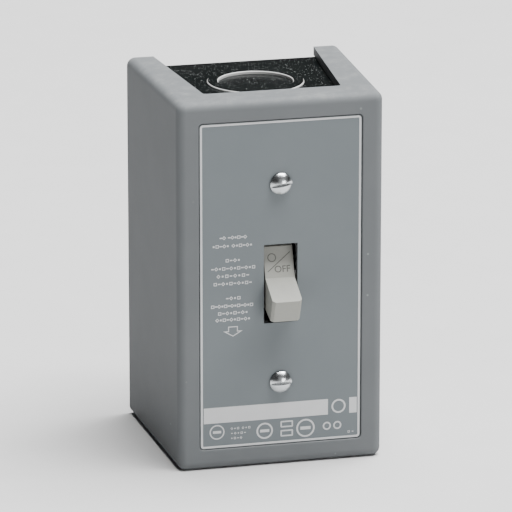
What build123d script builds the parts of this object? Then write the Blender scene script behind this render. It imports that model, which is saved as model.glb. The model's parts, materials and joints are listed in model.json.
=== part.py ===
from build123d import *

import os
from math import atan2, cos, degrees, hypot, pi, radians, sin

# Surface-mounted enclosure with a toggle-operated manual motor starter inside.
# Units are millimetres. The wall is the plane y = 0, the front faces -Y and +Z is up.
# The origin is the centre of the back face.

# ---- driving dimensions: enclosure ----
COVER_HEIGHT = 111.4
COVER_DEPTH = 57.5
COVER_FRONT_WIDTH = 61.4
COVER_BACK_WIDTH = 65.6
COVER_WALL = 2.6
COVER_EDGE_RADIUS = 2.5
WINDOW_FRONT_BAND = 10.4  # depth of the cover's top and bottom face in front of its window
WINDOW_SIDE_FRONT = 10.5  # width of the face beside the window, at the window's front
WINDOW_SIDE_BACK = 8.1  # the same, at the wall
WINDOW_CORNER_RADIUS = 1.0
SHEET = 1.5  # steel of the box and of the yoke
BOX_WIDTH = 54.0
BOX_GAP = 0.1  # between the box's end walls and the cover's lips
BEND_RADIUS = 2.0
FLANGE_HEIGHT = 9.0  # low side flanges of the box
FLANGE_RELIEF = 1.0

# ---- nameplate and toggle opening ----
FRONT_RIM_SIDES = 6.5  # width of the cover's front rim beside the nameplate
FRONT_RIM_ENDS = 6.45  # the same, above and below it
PLATE_THICKNESS = 0.5
PLATE_GAP = 0.25
PLATE_CORNER_RADIUS = 0.9
RECESS_DEPTH = 0.8
SLOT_SIDE_GAP = 0.65  # between the toggle and either side of the nameplate's opening
SLOT_HEIGHT = 23.9
SLOT_STEP = 0.4  # how far the cover's opening stands back from the nameplate's

# ---- fastener places ----
COVER_SCREW_SPACING = 60.325
YOKE_SCREW_SPACING = 83.34
WALL_HOLE_SPACING = 88.9
WALL_HOLE_RADIUS = 2.6
GROUND_PLACE = (18.0, -42.0)
GROUND_HEAD_RADIUS = 3.9

# ---- knockouts ----
KNOCKOUT_INNER_RADIUS = 11.1
KNOCKOUT_OUTER_RADIUS = 14.3
KNOCKOUT_FROM_WALL = 27.0
RING_RISE = 0.5
DISC_SINK = 0.35
LANCE_EDGE = 0.18

# ---- screw threads and heads ----
THREAD_RADIUS = 1.72
TAPPED_RADIUS = 1.76
CLEARANCE_RADIUS = 2.1
SCREW_HEAD_RADIUS = 3.3
SCREW_HEAD_HEIGHT = 2.1
SLOT_CUT_WIDTH = 1.0
SLOT_CUT_DEPTH = 1.5

# ---- toggle ----
PIVOT_DEPTH = 9.7  # behind the cover's front face
TOGGLE_WIDTH = 8.8
TOGGLE_REACH = 17.8
TOGGLE_TIP_HALF = 3.6
TOGGLE_ROOT = (7.5, 4.6)  # ahead of the pivot, and off the handle's centreline
BARREL_EDGE = (1.3, 11.4)
BARREL_BACK = (-0.8, 11.1)
BARREL_WAIST = (-2.2, 4.4)
OFF_TILT = 21.5  # degrees the handle hangs below level when off, and stands above it when on
TIP_CHAMFER = 0.8
TAIL_HALF_WIDTH = 2.1
TAIL_RADIUS = 2.4
DRIVE_PIN_RADIUS = 0.9
DRIVE_PIN_REACH = 7.0
DRIVE_PIN_PAST_SPRING = 1.0
PIVOT_PIN_RADIUS = 1.5
RUNNING_CLEARANCE = 0.05

# ---- rocker and contacts ----
ROCKER_PIVOT_REACH = 18.8  # behind the toggle's pivot
FORK_INNER_HALF = 2.6
FORK_OUTER_HALF = 4.4
FORK_REACH = 14.0
FORK_SLOT_CLEARANCE = 0.5
FORK_HALF_HEIGHT = 3.3
ROCKER_HUB_RADIUS = 3.2
BRIDGE_REACH = 9.5
ROCKER_SEAT = 2.0  # height of the bridge's seat over the rocker's centreline
BRIDGE_HALF_LENGTH = 11.4
BRIDGE_WIDTH = 4.4
BRIDGE_THICKNESS = 0.9
CONTACT_OFFSET = 9.2
CONTACT_RADIUS = 1.8
CONTACT_HEIGHT = 0.8
CONTACT_GAP_CLOSED = 0.06

# ---- over-centre springs ----
SPRING_SIDE_GAP = 0.25  # between a spring and the yoke's lug beside it
SPRING_COIL_RADIUS = 1.1
SPRING_WIRE_RADIUS = 0.25
SPRING_PITCH = 0.62
SPRING_POST_BACK = 1.6  # behind the yoke
SPRING_POST_RADIUS = 0.6
SPRING_EYE_CLEARANCE = 0.3
TAB_FROM_SPRING = 1.4  # from a spring's line to the yoke tab that holds its post
TAB_THICKNESS = 0.8
SPRING_HOOK = 0.5  # from the coil's end to the eye

# ---- starter case and yoke ----
COVER_BOSS_HEIGHT = 1.1
COVER_BOSS_RADIUS = 4.2
YOKE_EAR_WIDTH = 15.0
YOKE_WIDTH = 20.0
YOKE_LENGTH = 98.0
YOKE_WINDOW_HEIGHT = 25.4
YOKE_WINDOW_RADIUS = 3.0
LUG_THICKNESS = 0.7  # of the yoke's two lugs beside the toggle
LUG_SIDE_GAP = 0.3  # between the toggle and either lug
LUG_HALF_HEIGHT = 2.6
LUG_BEHIND_PIN = 2.3
EAR_PAST_SCREW = 4.17  # how far the box's ears run on past the yoke screws
POCKET_WIDTH = 6.8  # between the case's cheek and its outer wall
CASE_HEIGHT = 70.0
CASE_DEPTH = 39.4
CASE_WALL = 2.0
CHEEK_THICKNESS = 1.6
CHAMBER_SIDE_GAP = 0.4  # between a yoke tab and the cheek beside it
CHEEK_HALF_HEIGHT = 17.0
CHEEK_TAIL = 3.0  # how far the cheeks run on behind the rocker's pin
CASE_BACK_THICKNESS = 2.0
RIVET_INBOARD = 0.4  # of the pocket's middle
RIVET_Z = 28.5
RIVET_RADIUS = 1.6
RIVET_HEAD_RADIUS = 2.7
RIVET_HEAD_HEIGHT = 0.9

# ---- strips, terminals and overload heater ----
STRIP = 1.0
STRIP_WIDTH = 5.4
STRIP_DEPTH = 7.0  # of the terminal strips' front faces, behind the case's front
HEATER_SCREW_Z = 12.5
TERMINAL_Z = 27.0
TERMINAL_HEAD_RADIUS = 2.6
BRACKET_THICKNESS = 1.0
TUBE_RADIUS = 2.1
TUBE_LENGTH = 6.0
WINDING_RADIUS = 2.75
WINDING_WIRE_RADIUS = 0.38
WINDING_PITCH = 1.15
WHEEL_RADIUS = 3.0
WHEEL_ROOT_RADIUS = 2.0
WHEEL_TEETH = 8
WHEEL_PHASE = 31.0  # degrees; puts the pawl midway between two teeth
WHEEL_THICKNESS = 2.4
WHEEL_SHAFT_RADIUS = 1.0
WHEEL_BACK = 16.8  # of the wheel's back face, behind the case's front
LEVER_PIVOT_OUTBOARD = 1.3  # of the pocket's middle
LEVER_PIVOT_Z = -8.6
LEVER_SWING = 7.0  # degrees the lever rises when the overload trips it
LEVER_PIN_RADIUS = 0.9
LEVER_THICKNESS = 1.8
LEVER_BAR_HALF_HEIGHT = 1.2
LEVER_KICKER_X = 2.2
PAWL_INBOARD = 0.3  # of the pocket's middle
PAWL_BITE = 0.45  # how deep the pawl stands between two teeth
TRIP_SPRING_RADIUS = 1.3
TRIP_SPRING_INBOARD = 1.7  # of the pocket's middle
TRIP_SPRING_PITCH = 1.0
TRIP_SPRING_FOOT = -16.0

# ---- sizes that follow from the driving dimensions ----
PLATE_WIDTH = COVER_FRONT_WIDTH - 2 * FRONT_RIM_SIDES
PLATE_HEIGHT = COVER_HEIGHT - 2 * FRONT_RIM_ENDS
SLOT_WIDTH = TOGGLE_WIDTH + 2 * SLOT_SIDE_GAP
YOKE_WINDOW_WIDTH = TOGGLE_WIDTH + 2 * (LUG_SIDE_GAP + LUG_THICKNESS)
SPRING_OFFSET = YOKE_WINDOW_WIDTH / 2 + SPRING_SIDE_GAP + SPRING_COIL_RADIUS + SPRING_WIRE_RADIUS
DRIVE_PIN_HALF_LENGTH = SPRING_OFFSET + DRIVE_PIN_PAST_SPRING
CHAMBER_HALF_WIDTH = SPRING_OFFSET + TAB_FROM_SPRING + TAB_THICKNESS + CHAMBER_SIDE_GAP
CHEEK_OUTER = CHAMBER_HALF_WIDTH + CHEEK_THICKNESS
CASE_WIDTH = 2 * (CHEEK_OUTER + POCKET_WIDTH + CASE_WALL)
CASE_INNER_X = CASE_WIDTH / 2 - CASE_WALL
HEATER_X = CHEEK_OUTER + POCKET_WIDTH / 2
RIVET_X = HEATER_X - RIVET_INBOARD
LEVER_PIVOT = (HEATER_X + LEVER_PIVOT_OUTBOARD, LEVER_PIVOT_Z)
PAWL_X = HEATER_X - PAWL_INBOARD
TRIP_SPRING_X = HEATER_X - TRIP_SPRING_INBOARD

# ---- places that follow from the driving dimensions ----
FRONT_Y = -COVER_DEPTH
COVER_INNER_Y = FRONT_Y + COVER_WALL
RECESS_Y = FRONT_Y + RECESS_DEPTH
PLATE_FRONT_Y = RECESS_Y - PLATE_THICKNESS
YOKE_FRONT_Y = COVER_INNER_Y + COVER_BOSS_HEIGHT
YOKE_BACK_Y = YOKE_FRONT_Y + SHEET
CASE_FRONT_Y = YOKE_BACK_Y
CASE_BACK_Y = CASE_FRONT_Y + CASE_DEPTH
CHAMBER_BACK_Y = CASE_BACK_Y - CASE_BACK_THICKNESS
BOX_TOP_Z = COVER_HEIGHT / 2 - COVER_WALL - BOX_GAP
BOX_INNER_Z = BOX_TOP_Z - SHEET
PIVOT_Y = FRONT_Y + PIVOT_DEPTH
ROCKER_Y = PIVOT_Y + ROCKER_PIVOT_REACH
POST_Y = YOKE_BACK_Y + SPRING_POST_BACK
STRIP_FRONT_Y = CASE_FRONT_Y + STRIP_DEPTH
STRIP_BACK_Y = STRIP_FRONT_Y + STRIP
WHEEL_BACK_Y = CASE_FRONT_Y + WHEEL_BACK
LEVER_BACK_Y = WHEEL_BACK_Y - 0.3
LEVER_FRONT_Y = LEVER_BACK_Y - LEVER_THICKNESS

# The drive pin's place when off, seen from the toggle's pivot, fixes the other rest angles.
DRIVE_Y = PIVOT_Y + DRIVE_PIN_REACH * cos(radians(OFF_TILT))
DRIVE_Z = DRIVE_PIN_REACH * sin(radians(OFF_TILT))
ROCKER_TILT = degrees(atan2(DRIVE_Z, ROCKER_Y - DRIVE_Y))
SPRING_TILT = degrees(atan2(DRIVE_Z, DRIVE_Y - POST_Y))
SPRING_LENGTH = hypot(DRIVE_Z, DRIVE_Y - POST_Y)

X_AXIS = (1, 0, 0)
Y_AXIS = (0, 1, 0)
Z_AXIS = (0, 0, 1)


# ---- small shape helpers ----
def block(x_range, y_range, z_range):
    """A box between two corners, each range given as (low, high)."""
    spans = [high - low for low, high in (x_range, y_range, z_range)]
    middle = [(low + high) / 2 for low, high in (x_range, y_range, z_range)]
    return Pos(*middle) * Box(*spans)


def rod_x(radius, x_range, y, z):
    """A round rod along X."""
    low, high = x_range
    return Pos((low + high) / 2, y, z) * Rot(0, 90, 0) * Cylinder(radius, high - low)


def rod_y(radius, y_range, x, z):
    """A round rod along Y."""
    low, high = y_range
    return Pos(x, (low + high) / 2, z) * Rot(90, 0, 0) * Cylinder(radius, high - low)


def rod_z(radius, z_range, x, y):
    """A round rod along Z."""
    low, high = z_range
    return Pos(x, y, (low + high) / 2) * Cylinder(radius, high - low)


def side_profile(points, x_range):
    """A closed outline of (y, z) points, drawn out along X."""
    low, high = x_range
    face = make_face(Polyline(*[(low, y, z) for y, z in points], close=True))
    return extrude(face, amount=high - low, dir=X_AXIS)


def front_profile(points, y_range):
    """A closed outline of (x, z) points, drawn out along Y."""
    low, high = y_range
    face = make_face(Polyline(*[(x, low, z) for x, z in points], close=True))
    return extrude(face, amount=high - low, dir=Y_AXIS)


def plan_profile(points, z_range):
    """A closed outline of (x, y) points, drawn out along Z."""
    low, high = z_range
    face = make_face(Polyline(*[(x, y, low) for x, y in points], close=True))
    return extrude(face, amount=high - low, dir=Z_AXIS)


def rounded_slab(width, height, y_range, radius):
    """A slab facing front, centred on the Y axis, with rounded corners."""
    slab = block((-width / 2, width / 2), y_range, (-height / 2, height / 2))
    return fillet(slab.edges().filter_by(Axis.Y), radius)


def turned_about_x(shape, degrees_up, y):
    """The shape turned about the line along X through (y, z = 0)."""
    return Pos(0, y, 0) * Rot(degrees_up, 0, 0) * Pos(0, -y, 0) * shape


def mirrored_pair(shape, plane):
    """The shape and its mirror image, as two solids in one node."""
    return Compound(children=[shape, mirror(shape, plane)])


def coil(radius, wire_radius, pitch, length):
    """A helical wire about the Z axis, from z = 0 to z = length."""
    path = Helix(pitch=pitch, height=length, radius=radius)
    section = Plane(origin=path @ 0, z_dir=path % 0) * Circle(wire_radius)
    return sweep(section, path=path, is_frenet=True)


def slotted_screw(head_radius, head_height, shank_length, turn):
    """A dome-headed slotted screw. Its head stands on y = 0 towards -Y, and its shank runs along +Y."""
    rim = head_height * 0.28
    dome = RadiusArc((head_radius, rim), (0, head_height), -head_radius * 1.35)
    outline = [Line((0, 0), (head_radius, 0)), Line((head_radius, 0), (head_radius, rim)), dome]
    outline.append(Line((0, head_height), (0, 0)))
    head = revolve(Plane.XZ * make_face(outline), Axis.Z)
    cut_floor = head_height - SLOT_CUT_DEPTH
    cut = block(
        (-head_radius - 1, head_radius + 1),
        (-SLOT_CUT_WIDTH / 2, SLOT_CUT_WIDTH / 2),
        (cut_floor, head_height + 1),
    )
    shank = rod_z(THREAD_RADIUS, (-shank_length, 0.1), 0, 0)
    tip_edge = shank.edges().sort_by(Axis.Z)[0]
    shank = chamfer(tip_edge, THREAD_RADIUS * 0.3)
    return Rot(90, 0, 0) * Rot(0, 0, turn) * (head - cut + shank)


# ---- enclosure ----
def cover_plan(inset, y_front, y_back):
    """The cover's tapering plan, moved in by inset from its side faces."""

    def half_width(y):
        share = -y / COVER_DEPTH
        return (COVER_BACK_WIDTH + (COVER_FRONT_WIDTH - COVER_BACK_WIDTH) * share) / 2 - inset

    front, back = half_width(y_front), half_width(y_back)
    return [(-front, y_front), (front, y_front), (back, y_back), (-back, y_back)]


def cover_window():
    """The window in the cover's top and bottom faces, open towards the wall."""
    y_front = FRONT_Y + WINDOW_FRONT_BAND
    slope_front = cover_plan(WINDOW_SIDE_FRONT, y_front, 0)[1][0]
    slope_back = cover_plan(WINDOW_SIDE_BACK, y_front, 0)[2][0]
    past_wall = 1.0
    spread = (slope_back - slope_front) * past_wall / (0 - y_front)
    back = slope_back + spread
    outline = [(-slope_front, y_front), (slope_front, y_front), (back, past_wall), (-back, past_wall)]
    window = plan_profile(outline, (-COVER_HEIGHT, COVER_HEIGHT))
    front_corners = window.edges().filter_by(Axis.Z).sort_by(Axis.Y)[:2]
    return fillet(front_corners, WINDOW_CORNER_RADIUS)


def cover():
    """Moulded cover: front and two tapering sides, with lips round the top and bottom windows."""
    half = COVER_HEIGHT / 2
    body = plan_profile(cover_plan(0, FRONT_Y, 0), (-half, half))
    rounded = [edge for edge in body.edges() if edge.center().Y < -0.5]
    body = fillet(rounded, COVER_EDGE_RADIUS)
    cavity = plan_profile(
        cover_plan(COVER_WALL, COVER_INNER_Y, 1.0),
        (-half + COVER_WALL, half - COVER_WALL),
    )
    body -= cavity
    body -= cover_window()
    screw_z = COVER_SCREW_SPACING / 2
    for z in (-screw_z, screw_z):
        body += rod_y(COVER_BOSS_RADIUS, (COVER_INNER_Y - 0.5, YOKE_FRONT_Y), 0, z)
    recess = rounded_slab(
        PLATE_WIDTH + 2 * PLATE_GAP,
        PLATE_HEIGHT + 2 * PLATE_GAP,
        (FRONT_Y - 1, RECESS_Y),
        PLATE_CORNER_RADIUS + PLATE_GAP,
    )
    body -= recess
    rim = [
        edge
        for edge in body.edges()
        if abs(edge.center().Y - FRONT_Y) < 0.01
        and abs(edge.bounding_box().max.X) < PLATE_WIDTH / 2 + 1
        and abs(edge.bounding_box().max.Z) < PLATE_HEIGHT / 2 + 1
        and abs(edge.bounding_box().min.Z) < PLATE_HEIGHT / 2 + 1
    ]
    body = fillet(rim, RECESS_DEPTH * 0.45)
    slot_x = SLOT_WIDTH / 2 + SLOT_STEP
    slot_z = SLOT_HEIGHT / 2 + SLOT_STEP
    body -= block((-slot_x, slot_x), (FRONT_Y - 1, COVER_INNER_Y + 1), (-slot_z, slot_z))
    for z in (-screw_z, screw_z):
        body -= rod_y(CLEARANCE_RADIUS, (FRONT_Y - 1, YOKE_FRONT_Y + 1), 0, z)
    return body


def nameplate():
    """Thin aluminium plate stuck in the cover's front recess."""
    plate = rounded_slab(PLATE_WIDTH, PLATE_HEIGHT, (PLATE_FRONT_Y, RECESS_Y), PLATE_CORNER_RADIUS)
    plate -= block(
        (-SLOT_WIDTH / 2, SLOT_WIDTH / 2),
        (PLATE_FRONT_Y - 1, RECESS_Y + 1),
        (-SLOT_HEIGHT / 2, SLOT_HEIGHT / 2),
    )
    for z in (-COVER_SCREW_SPACING / 2, COVER_SCREW_SPACING / 2):
        plate -= rod_y(CLEARANCE_RADIUS, (PLATE_FRONT_Y - 1, RECESS_Y + 1), 0, z)
    return plate


def knockout(plate_range):
    """A concentric knockout in a plate facing +Z: the shape to cut, and the ring and disc to put back."""
    low, high = plate_range
    cut = rod_z(KNOCKOUT_OUTER_RADIUS, (low - 1, high + 1), 0, 0)
    ring = rod_z(KNOCKOUT_OUTER_RADIUS, (low + RING_RISE, high + RING_RISE), 0, 0)
    ring = chamfer(ring.edges().filter_by(GeomType.CIRCLE).sort_by(Axis.Z)[-1], LANCE_EDGE)
    ring -= rod_z(KNOCKOUT_INNER_RADIUS, (low - 1, high + 2), 0, 0)
    ring = chamfer(
        ring.edges().filter_by(GeomType.CIRCLE).group_by(Axis.Z)[-1].sort_by(SortBy.RADIUS)[0],
        LANCE_EDGE,
    )
    disc = rod_z(KNOCKOUT_INNER_RADIUS, (low - DISC_SINK, high - DISC_SINK), 0, 0)
    return cut, ring + disc


def back_box():
    """Pressed steel box: back wall, two end walls with knockouts, ears for the yoke, side flanges."""
    half = BOX_WIDTH / 2
    top = BOX_TOP_Z
    wall = block((-half, half), (-SHEET, 0), (-top, top))
    end_wall = block((-half, half), (YOKE_BACK_Y, 0), (BOX_INNER_Z, top))
    ear_x = YOKE_EAR_WIDTH / 2
    ear_low = YOKE_SCREW_SPACING / 2 - EAR_PAST_SCREW
    ear = block((-ear_x, ear_x), (YOKE_BACK_Y, YOKE_BACK_Y + SHEET), (ear_low, top))
    flange = block((half - SHEET, half), (-FLANGE_HEIGHT, 0), (-BOX_INNER_Z, BOX_INNER_Z))
    flange -= block(
        (half - SHEET - 1, half + 1),
        (-FLANGE_HEIGHT - 1, -SHEET),
        (BOX_INNER_Z - FLANGE_RELIEF, BOX_INNER_Z + 1),
    )
    flange -= block(
        (half - SHEET - 1, half + 1),
        (-FLANGE_HEIGHT - 1, -SHEET),
        (-BOX_INNER_Z - 1, FLANGE_RELIEF - BOX_INNER_Z),
    )
    box = wall + end_wall + mirror(end_wall, Plane.XY) + ear + mirror(ear, Plane.XY)
    box += [flange, mirror(flange, Plane.YZ)]
    bends = [
        edge
        for edge in box.edges().filter_by(Axis.X)
        if abs(edge.center().Y) < 0.01 and abs(abs(edge.center().Z) - top) < 0.01
    ]
    box = fillet(bends, BEND_RADIUS)
    ear_bends = [
        edge
        for edge in box.edges().filter_by(Axis.X)
        if abs(edge.center().Y - YOKE_BACK_Y) < 0.01
        and abs(abs(edge.center().Z) - top) < 0.01
        and abs(edge.center().X) < 0.01
    ]
    box = fillet(ear_bends, SHEET * 0.8)
    cut, slug = knockout((BOX_INNER_Z, top))
    at_window = Pos(0, -KNOCKOUT_FROM_WALL, 0)
    box = box - at_window * cut + at_window * slug
    box = box - mirror(at_window * cut, Plane.XY) + mirror(at_window * slug, Plane.XY)
    box -= rod_y(KNOCKOUT_OUTER_RADIUS, (-SHEET - 1, 1), 0, 0)
    disc = rod_y(KNOCKOUT_INNER_RADIUS, (-SHEET, 0), 0, 0)
    ring = rod_y(KNOCKOUT_OUTER_RADIUS, (-SHEET - DISC_SINK, -DISC_SINK), 0, 0)
    ring -= rod_y(KNOCKOUT_INNER_RADIUS, (-SHEET - 1, 1), 0, 0)
    box = box + ring + disc
    for z in (-WALL_HOLE_SPACING / 2, WALL_HOLE_SPACING / 2):
        box -= rod_y(WALL_HOLE_RADIUS, (-SHEET - 1, 1), 0, z)
    for z in (-YOKE_SCREW_SPACING / 2, YOKE_SCREW_SPACING / 2):
        box -= rod_y(TAPPED_RADIUS, (YOKE_BACK_Y - 1, YOKE_BACK_Y + SHEET + 1), 0, z)
    ground_x, ground_z = GROUND_PLACE
    box -= rod_y(TAPPED_RADIUS, (-SHEET - 1, 1), ground_x, ground_z)
    return box


def cover_screws():
    """Two slotted screws that hold the cover and nameplate to the yoke."""
    place = COVER_SCREW_SPACING / 2
    length = YOKE_BACK_Y - PLATE_FRONT_Y + 4.0
    screws = [
        Pos(0, PLATE_FRONT_Y, z) * slotted_screw(SCREW_HEAD_RADIUS, SCREW_HEAD_HEIGHT, length, turn)
        for z, turn in ((place, 8.0), (-place, 2.0))
    ]
    return Compound(children=screws)


def yoke_screws():
    """Two screws that hold the yoke to the box's ears. Their heads hide under the cover."""
    head_height = COVER_BOSS_HEIGHT * 0.9
    screws = []
    for z in (-YOKE_SCREW_SPACING / 2, YOKE_SCREW_SPACING / 2):
        head = rod_y(SCREW_HEAD_RADIUS, (YOKE_FRONT_Y - head_height, YOKE_FRONT_Y), 0, z)
        rim = head.edges().filter_by(GeomType.CIRCLE).sort_by(Axis.Y)[0]
        head = chamfer(rim, head_height * 0.4)
        head -= block(
            (-SCREW_HEAD_RADIUS - 1, SCREW_HEAD_RADIUS + 1),
            (YOKE_FRONT_Y - head_height - 1, YOKE_FRONT_Y - head_height * 0.45),
            (z - SLOT_CUT_WIDTH / 2, z + SLOT_CUT_WIDTH / 2),
        )
        shank = rod_y(THREAD_RADIUS, (YOKE_FRONT_Y - 0.1, YOKE_BACK_Y + SHEET + 3.0), 0, z)
        screws.append(head + shank)
    return Compound(children=screws)


def ground_screw():
    """Green bonding screw in the back wall."""
    x, z = GROUND_PLACE
    head = rod_y(GROUND_HEAD_RADIUS, (-SHEET - 0.8, -SHEET), x, z)
    hexagon = Pos(x, -SHEET - 0.7, z) * Rot(90, 0, 0)
    head += hexagon * extrude(RegularPolygon(GROUND_HEAD_RADIUS * 0.82, 6), 2.6)
    head -= block(
        (x - GROUND_HEAD_RADIUS, x + GROUND_HEAD_RADIUS),
        (-SHEET - 5, -SHEET - 2.4),
        (z - SLOT_CUT_WIDTH / 2, z + SLOT_CUT_WIDTH / 2),
    )
    return head + rod_y(THREAD_RADIUS, (-SHEET - 0.1, -0.1), x, z)


# ---- yoke and starter case ----
def yoke_wing(side):
    """The yoke's wing over one rivet, side 1 at upper right and -1 at lower left."""
    inner, outer = YOKE_EAR_WIDTH / 2 - 1, RIVET_X + 3.6
    x_range = (inner, outer) if side > 0 else (-outer, -inner)
    z_low, z_high = RIVET_Z - 4.0, RIVET_Z + 4.0
    z_range = (z_low, z_high) if side > 0 else (-z_high, -z_low)
    return block(x_range, (YOKE_FRONT_Y, YOKE_BACK_Y), z_range)


def mounting_yoke():
    """Steel strap that carries the starter: window for the toggle, tapped and slotted holes, spring tabs."""
    span = (YOKE_FRONT_Y, YOKE_BACK_Y)
    half_ear, half = YOKE_EAR_WIDTH / 2, YOKE_WIDTH / 2
    strap = block((-half_ear, half_ear), span, (-YOKE_LENGTH / 2, YOKE_LENGTH / 2))
    strap = fillet(strap.edges().filter_by(Axis.Y), 2.5)
    middle = block((-half, half), span, (-CHEEK_HALF_HEIGHT, CHEEK_HALF_HEIGHT))
    strap += [middle, yoke_wing(1), yoke_wing(-1)]
    strap -= rounded_slab(
        YOKE_WINDOW_WIDTH,
        YOKE_WINDOW_HEIGHT,
        (span[0] - 1, span[1] + 1),
        YOKE_WINDOW_RADIUS,
    )
    tab_inner = SPRING_OFFSET + TAB_FROM_SPRING
    tab_x = (tab_inner, tab_inner + TAB_THICKNESS)
    tab = block(tab_x, (YOKE_BACK_Y - 0.1, POST_Y + 1.2), (-1.8, 1.8))
    tab -= rod_x(SPRING_POST_RADIUS, (tab_inner - 1, tab_inner + 2), POST_Y, 0)
    lug_outer = YOKE_WINDOW_WIDTH / 2
    lug = block(
        (lug_outer - LUG_THICKNESS, lug_outer + 0.1),
        (YOKE_FRONT_Y + 0.3, PIVOT_Y + LUG_BEHIND_PIN),
        (-LUG_HALF_HEIGHT, LUG_HALF_HEIGHT),
    )
    lug -= block((lug_outer, lug_outer + 1), (YOKE_BACK_Y, 0), (-LUG_HALF_HEIGHT, LUG_HALF_HEIGHT))
    lug -= rod_x(PIVOT_PIN_RADIUS, (0, lug_outer + 1), PIVOT_Y, 0)
    strap += [tab, mirror(tab, Plane.YZ), lug, mirror(lug, Plane.YZ)]
    for z in (-COVER_SCREW_SPACING / 2, COVER_SCREW_SPACING / 2):
        strap -= rod_y(TAPPED_RADIUS, (span[0] - 1, span[1] + 1), 0, z)
    for z in (-YOKE_SCREW_SPACING / 2, YOKE_SCREW_SPACING / 2):
        slot = [rod_y(CLEARANCE_RADIUS, (span[0] - 1, span[1] + 1), x, z) for x in (-1.5, 1.5)]
        slot.append(block((-1.5, 1.5), (span[0] - 1, span[1] + 1), (z - 2.1, z + 2.1)))
        strap -= slot
    for side in (-1, 1):
        strap -= rod_y(RIVET_RADIUS, (span[0] - 1, span[1] + 1), side * RIVET_X, side * RIVET_Z)
    return strap


def spring_posts():
    """Two short pins, riveted in the yoke's tabs, that hold the springs' front eyes."""
    inner = SPRING_OFFSET - 1.2
    post = rod_x(SPRING_POST_RADIUS, (inner, SPRING_OFFSET + TAB_FROM_SPRING + TAB_THICKNESS), POST_Y, 0)
    return mirrored_pair(post, Plane.YZ)


def case_body():
    """Moulded starter case, open at the back, with cheeks for the pins and pockets for the terminals."""
    half_x, half_z = CASE_WIDTH / 2, CASE_HEIGHT / 2
    inner_z = half_z - CASE_WALL
    case = block((-half_x, half_x), (CASE_FRONT_Y, CHAMBER_BACK_Y), (-half_z, half_z))
    case = fillet(case.edges().filter_by(Axis.Y), 1.5)
    front_inner = CASE_FRONT_Y + CASE_WALL
    case -= block((-CASE_INNER_X, CASE_INNER_X), (front_inner, 0), (-inner_z, inner_z))
    cheek_end = ROCKER_Y + CHEEK_TAIL
    cheek = block(
        (CHAMBER_HALF_WIDTH, CHEEK_OUTER),
        (front_inner - 0.1, cheek_end),
        (-CHEEK_HALF_HEIGHT, CHEEK_HALF_HEIGHT),
    )
    case += [cheek, mirror(cheek, Plane.YZ)]
    boss_y = (STRIP_BACK_Y, STRIP_BACK_Y + 6.0)
    strip_low, strip_high = HEATER_X - STRIP_WIDTH / 2, CASE_INNER_X + 0.1
    for z_low, z_high in ((-TERMINAL_Z - 5, -TERMINAL_Z + 5), (-15.5, -10.8), (9.2, 15.0)):
        case += block((strip_low, strip_high), boss_y, (z_low, z_high))
    case += block((-strip_high, -strip_low), boss_y, (TERMINAL_Z - 5, TERMINAL_Z + 5))
    for side in (-1, 1):
        sleeve_y = (front_inner - 0.1, CHAMBER_BACK_Y)
        case += rod_y(RIVET_RADIUS + 1.6, sleeve_y, side * RIVET_X, side * RIVET_Z)
    front_cut = (CASE_FRONT_Y - 1, front_inner + 0.01)
    chamber_z = YOKE_WINDOW_HEIGHT / 2 + 1.0
    case -= block((-CHAMBER_HALF_WIDTH, CHAMBER_HALF_WIDTH), front_cut, (-chamber_z, chamber_z))
    pocket_x = (CHEEK_OUTER, CASE_INNER_X)
    case -= block(pocket_x, front_cut, (-CHEEK_HALF_HEIGHT, CHEEK_HALF_HEIGHT))
    case -= block(pocket_x, front_cut, (-inner_z, -TERMINAL_Z + 6))
    case -= block((-CASE_INNER_X, -CHEEK_OUTER), front_cut, (TERMINAL_Z - 6, inner_z))
    wire_y = (CASE_FRONT_Y - 1, STRIP_FRONT_Y)
    case -= block((CHEEK_OUTER + 1, CASE_INNER_X - 1), wire_y, (-half_z - 1, -inner_z + 0.1))
    case -= block((-CASE_INNER_X + 1, -CHEEK_OUTER - 1), wire_y, (inner_z - 0.1, half_z + 1))
    for z in (-COVER_SCREW_SPACING / 2, COVER_SCREW_SPACING / 2):
        case -= rod_y(CLEARANCE_RADIUS, front_cut, 0, z)
    case -= rod_x(PIVOT_PIN_RADIUS, (-CHEEK_OUTER - 0.1, CHEEK_OUTER + 0.1), ROCKER_Y, 0)
    pivot_x, pivot_z = LEVER_PIVOT
    lever_rise = (pivot_x - CHAMBER_HALF_WIDTH) * sin(radians(LEVER_SWING))
    case -= block(
        (CHAMBER_HALF_WIDTH - 0.1, CHEEK_OUTER + 0.1),
        (LEVER_FRONT_Y - 0.4, LEVER_BACK_Y + 0.4),
        (pivot_z - LEVER_BAR_HALF_HEIGHT - 0.5, pivot_z + LEVER_BAR_HALF_HEIGHT + lever_rise + 0.5),
    )
    lever_post = rod_y(LEVER_PIN_RADIUS + 1.0, (LEVER_BACK_Y + 0.2, cheek_end), pivot_x, pivot_z)
    lever_web = block(
        (pivot_x, CASE_INNER_X + 0.1), (LEVER_BACK_Y + 0.2, cheek_end), (pivot_z - 1.0, pivot_z + 1.0)
    )
    case += lever_post + lever_web
    case -= rod_y(LEVER_PIN_RADIUS, (LEVER_FRONT_Y - 1, cheek_end - 2), pivot_x, pivot_z)
    spring_seat = block(
        (CHEEK_OUTER - 0.1, TRIP_SPRING_X + 2.2),
        (LEVER_FRONT_Y - 0.8, LEVER_BACK_Y + 0.8),
        (TRIP_SPRING_FOOT - 1.6, TRIP_SPRING_FOOT),
    )
    case += spring_seat
    for side in (-1, 1):
        hole = rod_y(RIVET_RADIUS, (CASE_FRONT_Y - 1, 0), side * RIVET_X, side * RIVET_Z)
        case -= hole
    for x, z in strip_screw_places():
        case -= rod_y(TAPPED_RADIUS, (STRIP_FRONT_Y, STRIP_BACK_Y + 4.5), x, z)
    return case


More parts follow.
